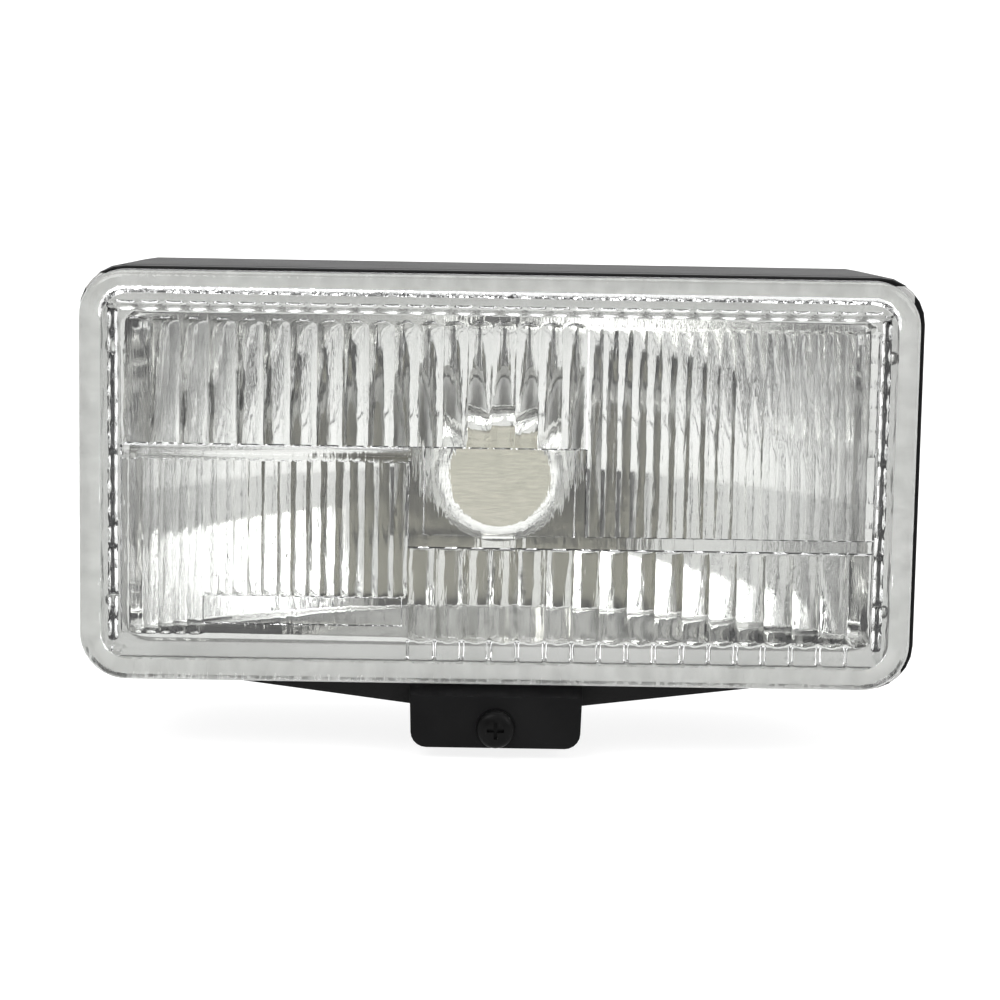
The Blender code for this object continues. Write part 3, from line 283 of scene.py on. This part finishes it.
def shield_steel():
    """Spun steel: a dull warm face inside a brighter rolled edge. The edge is the same steel painted
    lighter, a painted highlight rather than a different finish.
    """
    material, tree, shader = new_material("spun_steel")
    shader.inputs["Metallic"].default_value = 1.0
    streak = noise(tree, 300, 4, 0.6, (1, 1, 8))
    face = ramp(tree, streak, (0.32, 0.31, 0.255), (0.44, 0.425, 0.36))
    # Lighter copy of the face steel for the rolled edge: painted highlight, same roughness as the face
    edge = ramp(tree, streak, (0.74, 0.74, 0.72), (0.86, 0.86, 0.84))
    axes = object_axes(tree)
    rise = add_math(tree, "SUBTRACT", axes.outputs["Z"], LENS_CENTRE_Z)
    across = add_math(tree, "MULTIPLY", axes.outputs["X"], axes.outputs["X"])
    square = add_math(tree, "ADD", across, add_math(tree, "MULTIPLY", rise, rise))
    outside = add_math(tree, "GREATER_THAN", add_math(tree, "SQRT", square), PAINTED_HIGHLIGHT_RADIUS)
    tree.links.new(two_tone(tree, outside, face, edge), shader.inputs["Base Color"])
    tree.links.new(spread(tree, streak, 0.07, 0.12), shader.inputs["Roughness"])
    bump(tree, shader, streak, 0.00002, 0.5)
    return material


def clear_glass():
    material, tree, shader = new_material("pressed_glass")
    shader.inputs["Transmission Weight"].default_value = 1.0
    shader.inputs["IOR"].default_value = 1.5
    shader.inputs["Roughness"].default_value = 0.0
    cloud = noise(tree, 40, 2)
    tree.links.new(ramp(tree, cloud, (0.965, 0.975, 0.965), (0.985, 0.99, 0.985)),
                   shader.inputs["Base Color"])
    bump(tree, shader, noise(tree, 620, 3, 0.5, (1.0, 1.0, 0.14)), 0.00026, 0.6)
    return material


def bulb_glass():
    material, tree, shader = new_material("bulb_glass")
    shader.inputs["Transmission Weight"].default_value = 1.0
    shader.inputs["IOR"].default_value = 1.46
    cloud = noise(tree, 200, 2)
    tree.links.new(ramp(tree, cloud, (0.97, 0.97, 0.96), (0.99, 0.99, 0.985)),
                   shader.inputs["Base Color"])
    tree.links.new(spread(tree, cloud, 0.0, 0.04), shader.inputs["Roughness"])
    return material


def wire_insulation():
    material, tree, shader = new_material("red_insulation")
    cloud = noise(tree, 500, 3)
    tree.links.new(ramp(tree, cloud, (0.42, 0.02, 0.015), (0.55, 0.035, 0.025)),
                   shader.inputs["Base Color"])
    tree.links.new(spread(tree, cloud, 0.35, 0.5), shader.inputs["Roughness"])
    return material


# ---------------------------------------------------------------- mesh helpers
def piece(name, mesh, material, body, replaces=None):
    thing = bpy.data.objects.new(name, mesh)
    bpy.context.scene.collection.objects.link(thing)
    mesh.materials.append(material)
    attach(thing, body)
    if replaces:
        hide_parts(*replaces)
    return thing


def finished_mesh(work, name, angle=30):
    bmesh.ops.recalc_face_normals(work, faces=work.faces)
    mesh = bpy.data.meshes.new(name)
    work.to_mesh(mesh)
    work.free()
    mesh.shade_smooth()
    mesh.set_sharp_from_angle(angle=math.radians(angle))
    return mesh


def bridge(work, ring_a, ring_b):
    count = len(ring_a)
    for index in range(count):
        after = (index + 1) % count
        work.faces.new((ring_a[index], ring_a[after], ring_b[after], ring_b[index]))


# ---------------------------------------------------------------- lens pattern (millimetres)
# u runs right and v runs up from the middle of the lens. A height is how far the inner face
# stands proud of its base plane, towards the bulb.
FIELD_LEFT = -81.5
FIELD_RIGHT = 81.8
FIELD_TOP = 33.8
STEP_TOP = 7.3
STEP_BOTTOM = 3.9
BAR_TOP = -11.9
BAR_BOTTOM = -14.7
FLUTE_FOOT = -34.6
DIVIDER_FOOT = -39.1
LOWER_BEAD_V = -38.3
WINDOW_LEFT = -19.2
WINDOW_RIGHT = 19.2
WINDOW_LEFT_STRIP = 3.2
WINDOW_RIGHT_STRIP = 2.3
STRIP_HEIGHT = 0.75
SLOT_LEFT = -63.6
SLOT_RIGHT = -20.5
SLOT_TOP = -26.0
SLOT_BOTTOM = -32.2
FINE_PITCH = 3.2
WIDE_PITCH = 6.0
UPPER_FLUTE_HEIGHT = 0.95
LOWER_FLUTE_HEIGHT = 0.85
FINE_FLUTE_HEIGHT = 0.36
STEP_HEIGHT = 0.9
SLOT_HEIGHT = 0.35
DIVIDER_HEIGHT = 0.45
BEAD_PITCH = 5.2
BEAD_TOP_V = 37.2
BEAD_SIDE_U = 83.4


def upper_flute(u):
    """Phase in the upper wide flutes, whose pitch shrinks from 6.4 mm at the left to 5.0 mm."""
    run = u - FIELD_LEFT
    full = WINDOW_RIGHT - FIELD_LEFT
    count = run / 6.4 + run * run / full * 0.5 * (1 / 4.9 - 1 / 6.4)
    return count


def arch(phase):
    """Rounded flute section: 0 at the cusps, 1 in the middle."""
    across = 2 * (phase - math.floor(phase)) - 1
    return 1 - across * across


def soft_end(distance, length):
    """Rounded end of a flute: 0 outside, rising to 1 over the length."""
    share = min(max(distance / length, 0.0), 1.0)
    return math.sqrt(1 - (1 - share) ** 2)


def wide_upper(u, v):
    section = arch(upper_flute(u))
    top = soft_end(FIELD_TOP + 0.9 * section - v, 1.8)
    return UPPER_FLUTE_HEIGHT * section * top


def fine(u):
    return FINE_FLUTE_HEIGHT * arch(u / FINE_PITCH)


def wide_lower(u, v):
    section = arch((u - WINDOW_LEFT) / WIDE_PITCH)
    foot = soft_end(v - (FLUTE_FOOT - 0.8 * section), 2.2)
    head = soft_end(BAR_BOTTOM - v, 0.8)
    return LOWER_FLUTE_HEIGHT * section * foot * head


def beads(u, v):
    """Scalloped bead lines above and beside the fluted field."""
    height = 0.0
    if abs(u) < BEAD_SIDE_U:
        off = (v - BEAD_TOP_V) / 1.0
        if abs(off) < 1:
            height = max(height, 1.0 * (1 - off * off) * (0.2 + 0.8 * arch(u / BEAD_PITCH)))
        off = (v - LOWER_BEAD_V) / 0.9
        if abs(off) < 1 and u < WINDOW_LEFT:
            height = max(height, 0.5 * (1 - off * off) * arch(u / BEAD_PITCH + 0.5))
    off = (abs(u) - BEAD_SIDE_U) / 1.0
    if abs(off) < 1 and abs(v) < BEAD_TOP_V:
        height = max(height, 1.1 * (1 - off * off) * (0.15 + 0.85 * arch(v / BEAD_PITCH)))
    return height


def field_height(u, v):
    """Height of the inner face of the lens at (u, v)."""
    if not (FIELD_LEFT < u < FIELD_RIGHT) or v > FIELD_TOP + 1.0 or v < DIVIDER_FOOT:
        return beads(u, v)
    if v > STEP_TOP and u < WINDOW_RIGHT:
        return wide_upper(u, v)
    if u > WINDOW_RIGHT and v > BAR_TOP:
        return fine(u - WINDOW_RIGHT) * soft_end(FIELD_TOP - v, 0.8)
    if u < WINDOW_LEFT and v > STEP_BOTTOM:
        return STEP_HEIGHT * math.sin(math.pi * (v - STEP_BOTTOM) / (STEP_TOP - STEP_BOTTOM))
    if u < WINDOW_LEFT:
        if SLOT_LEFT < u < SLOT_RIGHT and v < SLOT_TOP:
            return SLOT_HEIGHT if v > SLOT_BOTTOM else 0.0
        foot = FLUTE_FOOT if u <= SLOT_LEFT else SLOT_TOP
        return fine(u - WINDOW_LEFT) * soft_end(v - foot, 1.0)
    if v > BAR_TOP:
        left_strip = u < WINDOW_LEFT + WINDOW_LEFT_STRIP
        right_strip = u > WINDOW_RIGHT - WINDOW_RIGHT_STRIP
        return STRIP_HEIGHT if left_strip or right_strip else 0.0
    if v > BAR_BOTTOM:
        return STRIP_HEIGHT
    if v > FLUTE_FOOT - 1.0:
        return wide_lower(u, v)
    divider = abs((u - WINDOW_LEFT) / WIDE_PITCH - round((u - WINDOW_LEFT) / WIDE_PITCH))
    return DIVIDER_HEIGHT if divider < 0.07 else 0.0


GRID_HALF_U = 84.8
GRID_HALF_V = 39.4
GRID_COLUMNS = 560
ROW_EDGES = [FIELD_TOP + 0.9, FIELD_TOP, STEP_TOP, STEP_BOTTOM, BAR_TOP, BAR_BOTTOM, SLOT_TOP,
             SLOT_BOTTOM, FLUTE_FOOT, DIVIDER_FOOT, BEAD_TOP_V]


def grid_rows():
    """Row heights: close together at the edges of the zones, wider between them."""
    rows = {-GRID_HALF_V, GRID_HALF_V}
    for edge in ROW_EDGES:
        for off in (-1.6, -1.1, -0.7, -0.4, -0.12, 0.12, 0.4, 0.7, 1.1, 1.6):
            rows.add(round(edge + off, 3))
    step = 1.35
    count = int(2 * GRID_HALF_V / step)
    for index in range(count):
        rows.add(round(-GRID_HALF_V + step * (index + 0.5), 3))
    ordered = [row for row in sorted(rows) if abs(row) <= GRID_HALF_V]
    spaced = [ordered[0]]
    for row in ordered[1:]:
        if row - spaced[-1] > 0.19:
            spaced.append(row)
    spaced[-1] = GRID_HALF_V
    return spaced


def round_corner(u, v, half_u, half_v, radius):
    """Move a point of a square-cornered outline onto the outline with rounded corners."""
    inner_u = half_u - radius
    inner_v = half_v - radius
    if radius <= 0 or abs(u) <= inner_u or abs(v) <= inner_v:
        return u, v
    du = abs(u) - inner_u
    dv = abs(v) - inner_v
    length = math.hypot(du, dv)
    return (math.copysign(inner_u + radius * du / length, u),
            math.copysign(inner_v + radius * dv / length, v))


def lens_mesh():
    """Closed glass: fluted inner face, inner wall, rim, rounded edge and slightly crowned front."""
    work = bmesh.new()
    base_y = LENS_FRONT_Y / MM + 3.4
    half_w = LENS_HALF_W / MM
    half_h = LENS_HALF_H / MM

    def vertex(u, y, v):
        return work.verts.new((LENS_CENTRE_X + u * MM, y * MM, LENS_CENTRE_Z + v * MM))

    rows = grid_rows()
    columns = [GRID_HALF_U * (2 * index / GRID_COLUMNS - 1) for index in range(GRID_COLUMNS + 1)]
    grid = [[vertex(u, base_y + field_height(u, v), v) for u in columns] for v in rows]
    for row in range(len(rows) - 1):
        for column in range(GRID_COLUMNS):
            work.faces.new((grid[row][column], grid[row][column + 1],
                            grid[row + 1][column + 1], grid[row + 1][column]))
    last = GRID_COLUMNS
    edge = [(u, rows[0]) for u in columns]
    edge += [(columns[-1], v) for v in rows[1:]]
    edge += [(u, rows[-1]) for u in reversed(columns[:-1])]
    edge += [(columns[0], v) for v in reversed(rows[1:-1])]
    ring = grid[0][:] + [line[last] for line in grid[1:]]
    ring += list(reversed(grid[-1][:last])) + [line[0] for line in reversed(grid[1:-1])]
    front = LENS_FRONT_Y / MM
    rear = LENS_REAR_Y / MM
    sections = [
        (half_w - 4.9, half_h - 4.9, 5.0, base_y + 0.25),
        (half_w - 4.4, half_h - 4.4, 5.6, base_y + 0.75),
        (half_w - 3.8, half_h - 3.8, 6.3, rear),
        (half_w - 0.7, half_h - 0.7, 9.6, rear),
        (half_w - 0.2, half_h - 0.2, 10.1, rear - 0.3),
        (half_w, half_h, 10.3, rear - 0.9),
        (half_w, half_h, 10.3, front + 2.3),
        (half_w - 0.2, half_h - 0.2, 10.1, front + 1.5),
        (half_w - 0.7, half_h - 0.7, 9.7, front + 0.9),
        (half_w - 1.5, half_h - 1.5, 9.0, front + 0.55),
        (half_w - 2.3, half_h - 2.3, 8.2, front + 0.50),
        (half_w - 3.0, half_h - 3.0, 7.6, front + 0.20),
        (half_w - 3.3, half_h - 3.3, 7.4, front + 0.15),
        (half_w - 4.4, half_h - 4.4, 6.6, front + 0.12),
        (half_w - 4.8, half_h - 4.8, 6.3, front + 0.30),
        (half_w - 5.2, half_h - 5.2, 6.0, front + 0.12),
        (half_w - 6.2, half_h - 6.2, 5.2, front + 0.08),
        (half_w - 9.0, half_h - 9.0, 3.5, front),
    ]
    for wide, high, radius, y in sections:
        next_ring = []
        for u, v in edge:
            flat_u = u * wide / GRID_HALF_U
            flat_v = v * high / GRID_HALF_V
            ring_u, ring_v = round_corner(flat_u, flat_v, wide, high, radius)
            next_ring.append(vertex(ring_u, y, ring_v))
        bridge(work, ring, next_ring)
        ring = next_ring
    work.faces.new(ring)
    return finished_mesh(work, "fluted_lens", 38)


# ---------------------------------------------------------------- reflector
APEX_Y = 20.0
FOCAL_U = 49.0
FOCAL_V = 29.0
BOWL_HALF_U = 80.6
BOWL_HALF_V = 35.6
BOWL_RIM_Y = -23.6
FLANGE_HALF_U = 86.9
FLANGE_HALF_V = 39.9
HOLE_RADIUS = 17.7


def bowl_depth(u, v):
    return APEX_Y - u * u / (4 * FOCAL_U) - v * v / (4 * FOCAL_V)


def reflector_mesh():
    """Bowl laid out from the bulb hole outwards, then flat walls to the front and a flange."""
    low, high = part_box("reflector")
    front_y = low.y / MM
    work = bmesh.new()
    spokes = 240
    steps = 44

    def vertex(u, y, v):
        return work.verts.new((u * MM, y * MM, LENS_CENTRE_Z + v * MM))

    def limit(angle):
        """Distance from the axis to the edge of the bowl along a spoke."""
        c = abs(math.cos(angle))
        s = abs(math.sin(angle))
        reach = BOWL_HALF_V / max(s, 1e-6)
        reach = min(reach, BOWL_HALF_U / max(c, 1e-6))
        curve = c * c / (4 * FOCAL_U) + s * s / (4 * FOCAL_V)
        return min(reach, math.sqrt((APEX_Y - BOWL_RIM_Y) / curve))

    angles = []
    for index in range(spokes):
        t = 2 * math.pi * index / spokes
        angles.append(math.atan2(math.sin(t) * 0.62, math.cos(t)))
    rings = []
    for step in range(steps + 1):
        share = (step / steps) ** 0.9
        ring = []
        for angle in angles:
            distance = HOLE_RADIUS + (limit(angle) - HOLE_RADIUS) * share
            u = distance * math.cos(angle)
            v = distance * math.sin(angle)
            ring.append(vertex(u, bowl_depth(u, v), v))
        rings.append(ring)
    for share in (0.06, 0.5, 0.94, 1.0):
        ring = []
        for angle in angles:
            distance = limit(angle)
            u = distance * math.cos(angle)
            v = distance * math.sin(angle)
            start = bowl_depth(u, v)
            spread_out = 1 + 0.9 * share / distance
            ring.append(vertex(u * spread_out, start + (front_y - start) * share, v * spread_out))
        rings.append(ring)
    flange = []
    for angle in angles:
        c = math.cos(angle)
        s = math.sin(angle)
        reach = min(FLANGE_HALF_U / max(abs(c), 1e-6), FLANGE_HALF_V / max(abs(s), 1e-6))
        flange.append(vertex(reach * c, front_y, reach * s))
    rings.append(flange)
    for ring, wider in zip(rings, rings[1:]):
        bridge(work, ring, wider)
    return finished_mesh(work, "bright_bowl", 30)


def make_reflector(material, back):
    bowl = piece("bright_bowl", reflector_mesh(), material, "optic_unit", ["reflector"])
    thicken = bowl.modifiers.new("wall", "SOLIDIFY")
    thicken.thickness = 1.1 * MM
    thicken.offset = 1.0
    bowl.data.materials.append(back)
    thicken.material_offset = 1


# ---------------------------------------------------------------- bulb shield
def shield_mesh():
    """Spun cup: flat face with faint turning rings and a rolled edge; make_shield adds the leg back to
    the holder as a separate strip.
    """
    low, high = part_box("bulb_shield")
    radius = (high.x - low.x) / 2 / MM
    front = low.y / MM
    work = bmesh.new()
    steps = 96
    wall = 0.7
    depth = 5.9
    roll = 4.6
    profile = [(0.0, 0.0)]
    for ring in range(1, 7):
        inner = (radius - roll) * ring / 6.5
        profile.append((inner - 0.35, 0.0))
        profile.append((inner, 0.035))
        profile.append((inner + 0.35, 0.0))
    for step in range(11):
        angle = math.pi / 2 * step / 10
        profile.append((radius - roll + roll * math.sin(angle), roll * (1 - math.cos(angle))))
    profile.append((radius, depth - 0.3))
    profile.append((radius - 0.2, depth))
    profile.append((radius - wall, depth))
    for step in range(11):
        angle = math.pi / 2 * (1 - step / 10)
        profile.append((radius - roll + (roll - wall) * math.sin(angle),
                        roll - (roll - wall) * math.cos(angle)))
    profile.append((0.0, wall))
    rings = []
    for r, y in profile[1:-1]:
        ring = []
        for index in range(steps):
            angle = 2 * math.pi * index / steps
            ring.append(work.verts.new((r * math.cos(angle) * MM, (front + y) * MM,
                                        LENS_CENTRE_Z + r * math.sin(angle) * MM)))
        rings.append(ring)
    for ring, wider in zip(rings, rings[1:]):
        bridge(work, ring, wider)
    for ring, y in ((rings[0], front), (rings[-1], front + wall)):
        middle = work.verts.new((0, y * MM, LENS_CENTRE_Z))
        for index in range(steps):
            work.faces.new((ring[index], ring[(index + 1) % steps], middle))
    return finished_mesh(work, "spun_shield", 40)


def strip_mesh(name, path, half_width, thickness):
    """Bent flat strip: a path of (y, z) points in millimetres, centred on x = 0."""
    work = bmesh.new()
    sections = []
    for index, (y, z) in enumerate(path):
        before = path[max(index - 1, 0)]
        after = path[min(index + 1, len(path) - 1)]
        along = Vector((after[0] - before[0], after[1] - before[1])).normalized()
        side_y = -along.y * thickness / 2
        side_z = along.x * thickness / 2
        ring = []
        for x, side in ((-half_width, -1), (half_width, -1), (half_width, 1), (-half_width, 1)):
            ring.append(work.verts.new((x * MM, (y + side * side_y) * MM, (z + side * side_z) * MM)))
        sections.append(ring)
    for ring, after in zip(sections, sections[1:]):
        bridge(work, ring, after)
    work.faces.new(sections[0])
    work.faces.new(sections[-1])
    return finished_mesh(work, name, 40)


def make_shield(material):
    low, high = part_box("bulb_shield")
    piece("spun_shield", shield_mesh(), material, "optic_unit", ["bulb_shield"])
    leg_z = LENS_CENTRE_Z / MM - 13.6
    foot_y = high.y / MM - 0.4
    foot_z = low.z / MM + 0.1
    path = [(low.y / MM + 0.5, leg_z), (foot_y - 1.2, leg_z), (foot_y - 0.5, leg_z - 0.2),
            (foot_y - 0.15, leg_z - 0.6), (foot_y, leg_z - 1.3), (foot_y, foot_z)]
    leg = strip_mesh("shield_leg", path, 3.4, 0.7)
    piece("shield_leg", leg, material, "optic_unit")


# ---------------------------------------------------------------- stage
def make_floor():
    """Pale floor that curves up into a backdrop."""
    work = bmesh.new()
    profile = [(-4.0, -0.0004), (0.6, -0.0004)]
    bend = 0.8
    steps = 24
    for step in range(1, steps + 1):
        angle = math.pi / 2 * step / steps
        profile.append((0.6 + bend * math.sin(angle), bend * (1 - math.cos(angle)) - 0.0004))
    profile.append((0.6 + bend, 4.0))
    half = 4.0
    left = [work.verts.new((-half, y, z)) for y, z in profile]
    right = [work.verts.new((half, y, z)) for y, z in profile]
    for index in range(len(profile) - 1):
        work.faces.new((left[index], right[index], right[index + 1], left[index + 1]))
    mesh = finished_mesh(work, "studio_floor", 60)
    material, tree, shader = new_material("pale_floor")
    cloud = noise(tree, 3, 3)
    tree.links.new(ramp(tree, cloud, (0.26, 0.26, 0.26), (0.29, 0.29, 0.29)),
                   shader.inputs["Base Color"])
    shader.inputs["Roughness"].default_value = 0.9
    shader.inputs["Emission Color"].default_value = (1.0, 1.0, 1.0, 1.0)
    shader.inputs["Emission Strength"].default_value = 0.84
    mesh.materials.append(material)
    floor = bpy.data.objects.new("studio_floor", mesh)
    bpy.context.scene.collection.objects.link(floor)


def make_world():
    world = bpy.data.worlds.new("studio_world")
    world.use_nodes = True
    bpy.context.scene.world = world
    background = world.node_tree.nodes["Background"]
    background.inputs["Color"].default_value = (1.0, 1.0, 1.0, 1.0)
    background.inputs["Strength"].default_value = 1.0


def area_light(name, place, target, size, size_y, power):
    data = bpy.data.lights.new(name, "AREA")
    data.shape = "RECTANGLE"
    data.size = size
    data.size_y = size_y
    data.energy = power
    light = bpy.data.objects.new(name, data)
    bpy.context.scene.collection.objects.link(light)
    light.location = place
    aim = Vector(target) - Vector(place)
    light.rotation_euler = aim.to_track_quat("-Z", "Y").to_euler()


def dark_card(name, centre, width, height):
    """Dark screen out of view that gives the glass and the bowl something to reflect."""
    work = bmesh.new()
    half_w = width / 2
    half_h = height / 2
    corners = [work.verts.new((centre[0] + x, centre[1], centre[2] + z))
               for x, z in ((-half_w, -half_h), (half_w, -half_h), (half_w, half_h), (-half_w, half_h))]
    work.faces.new(corners)
    mesh = finished_mesh(work, name)
    material, tree, shader = new_material(name + "_cloth")
    cloud = noise(tree, 8, 2)
    tree.links.new(ramp(tree, cloud, (0.02, 0.02, 0.02), (0.05, 0.05, 0.05)),
                   shader.inputs["Base Color"])
    shader.inputs["Roughness"].default_value = 0.95
    mesh.materials.append(material)
    card = bpy.data.objects.new(name, mesh)
    bpy.context.scene.collection.objects.link(card)


CAMERA_DISTANCE = 0.680
CAMERA_ELEVATION = 9.0
CAMERA_AZIMUTH = -0.4
CAMERA_ROLL = 1.0
CAMERA_LENS = 113.1
AIM_RIGHT = 0.0006
AIM_DOWN = 0.0036


def make_camera():
    data = bpy.data.cameras.new("photo_camera")
    data.lens = CAMERA_LENS
    data.sensor_width = 36.0
    data.clip_end = 50
    camera = bpy.data.objects.new("photo_camera", data)
    bpy.context.scene.collection.objects.link(camera)
    azimuth = math.radians(CAMERA_AZIMUTH)
    elevation = math.radians(CAMERA_ELEVATION)
    centre = Vector((LENS_CENTRE_X + AIM_RIGHT, LENS_FRONT_Y, LENS_CENTRE_Z - AIM_DOWN))
    away = Vector((math.sin(azimuth) * math.cos(elevation),
                   -math.cos(azimuth) * math.cos(elevation),
                   math.sin(elevation)))
    camera.location = centre + away * CAMERA_DISTANCE
    turn = (-away).to_track_quat("-Z", "Y").to_matrix().to_4x4()
    camera.rotation_euler = turn.to_euler()
    camera.rotation_euler.rotate_axis("Z", math.radians(CAMERA_ROLL))
    bpy.context.scene.camera = camera


# ---------------------------------------------------------------- assembly
def smoothing_group():
    """Smooth shading that stays sharp where two faces meet at more than 32 degrees."""
    group = bpy.data.node_groups.new("smooth_by_angle", "GeometryNodeTree")
    group.interface.new_socket("Geometry", in_out="INPUT", socket_type="NodeSocketGeometry")
    group.interface.new_socket("Geometry", in_out="OUTPUT", socket_type="NodeSocketGeometry")
    entry = group.nodes.new("NodeGroupInput")
    leave = group.nodes.new("NodeGroupOutput")
    faces = group.nodes.new("GeometryNodeSetShadeSmooth")
    faces.domain = "FACE"
    faces.inputs["Shade Smooth"].default_value = True
    edges = group.nodes.new("GeometryNodeSetShadeSmooth")
    edges.domain = "EDGE"
    edges.inputs["Shade Smooth"].default_value = False
    angle = group.nodes.new("GeometryNodeInputMeshEdgeAngle")
    compare = group.nodes.new("ShaderNodeMath")
    compare.operation = "GREATER_THAN"
    compare.inputs[1].default_value = math.radians(32)
    group.links.new(entry.outputs[0], faces.inputs["Geometry"])
    group.links.new(faces.outputs["Geometry"], edges.inputs["Geometry"])
    group.links.new(angle.outputs["Unsigned Angle"], compare.inputs[0])
    group.links.new(compare.outputs[0], edges.inputs["Selection"])
    group.links.new(edges.outputs["Geometry"], leave.inputs[0])
    return group


def dress_cad():
    """Give every CAD node that stays visible its finished material."""
    shell = housing_plastic()
    soft = rubber()
    coated = black_steel()
    zinc = metal("zinc_plate", (0.50, 0.50, 0.49), (0.70, 0.70, 0.68), 0.30)
    spring = metal("spring_wire", (0.40, 0.40, 0.40), (0.58, 0.58, 0.57), 0.25)
    brass = metal("brass", (0.62, 0.47, 0.20), (0.80, 0.63, 0.32), 0.30)
    tungsten = metal("tungsten", (0.35, 0.35, 0.36), (0.50, 0.50, 0.52), 0.35)
    capsule = bulb_glass()
    insulation = wire_insulation()
    smoothing = smoothing_group()
    looks = {
        "lens_frame": frame_plastic(), "rear_housing": shell, "cable_grommet": soft,
        "housing_seal": soft, "lens_seal": glass_sealant(), "mounting_bracket": coated,
        "retaining_screw": coated, "bulb_clip": spring,
        "bulb_filament": tungsten, "bulb_capsule": capsule, "bulb_lead": insulation,
        "lead_terminal": brass, "earth_terminal": brass, "pivot_insert_left": brass,
        "pivot_insert_right": brass,
    }
    for name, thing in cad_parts.items():
        material = looks.get(name, zinc)
        thing.data.materials.clear()
        thing.data.materials.append(material)
        weld = thing.modifiers.new("weld", "WELD")
        weld.merge_threshold = 0.000001
        round_over = thing.modifiers.new("round_over", "BEVEL")
        round_over.width = 0.0002
        round_over.segments = 2
        round_over.limit_method = "ANGLE"
        round_over.angle_limit = math.radians(42)
        smoothing_modifier = thing.modifiers.new("smoothing", "NODES")
        smoothing_modifier.node_group = smoothing
        flatten = thing.modifiers.new("flatten", "WEIGHTED_NORMAL")
        flatten.keep_sharp = True


def build():
    make_camera()
    make_world()
    make_floor()
    area_light("key_light", (-0.9, -1.2, 1.5), (0, 0, 0.06), 1.4, 1.0, 18)
    area_light("fill_light", (1.3, -0.9, 0.9), (0, 0, 0.06), 1.0, 1.0, 9)
    area_light("top_light", (0, 0.2, 1.6), (0, 0, 0.06), 1.6, 0.9, 14)
    dark_card("dark_card_left", (-0.75, -1.6, 0.35), 0.5, 1.2)
    dark_card("dark_card_right", (0.65, -1.6, 0.30), 0.35, 1.2)
    dress_cad()
    piece("fluted_lens", lens_mesh(), clear_glass(), "optic_unit", ["lens_glass"])
    make_reflector(mirror_coating(), dull_back())
    make_shield(shield_steel())
    bpy.context.scene.view_settings.view_transform = "Standard"


build()
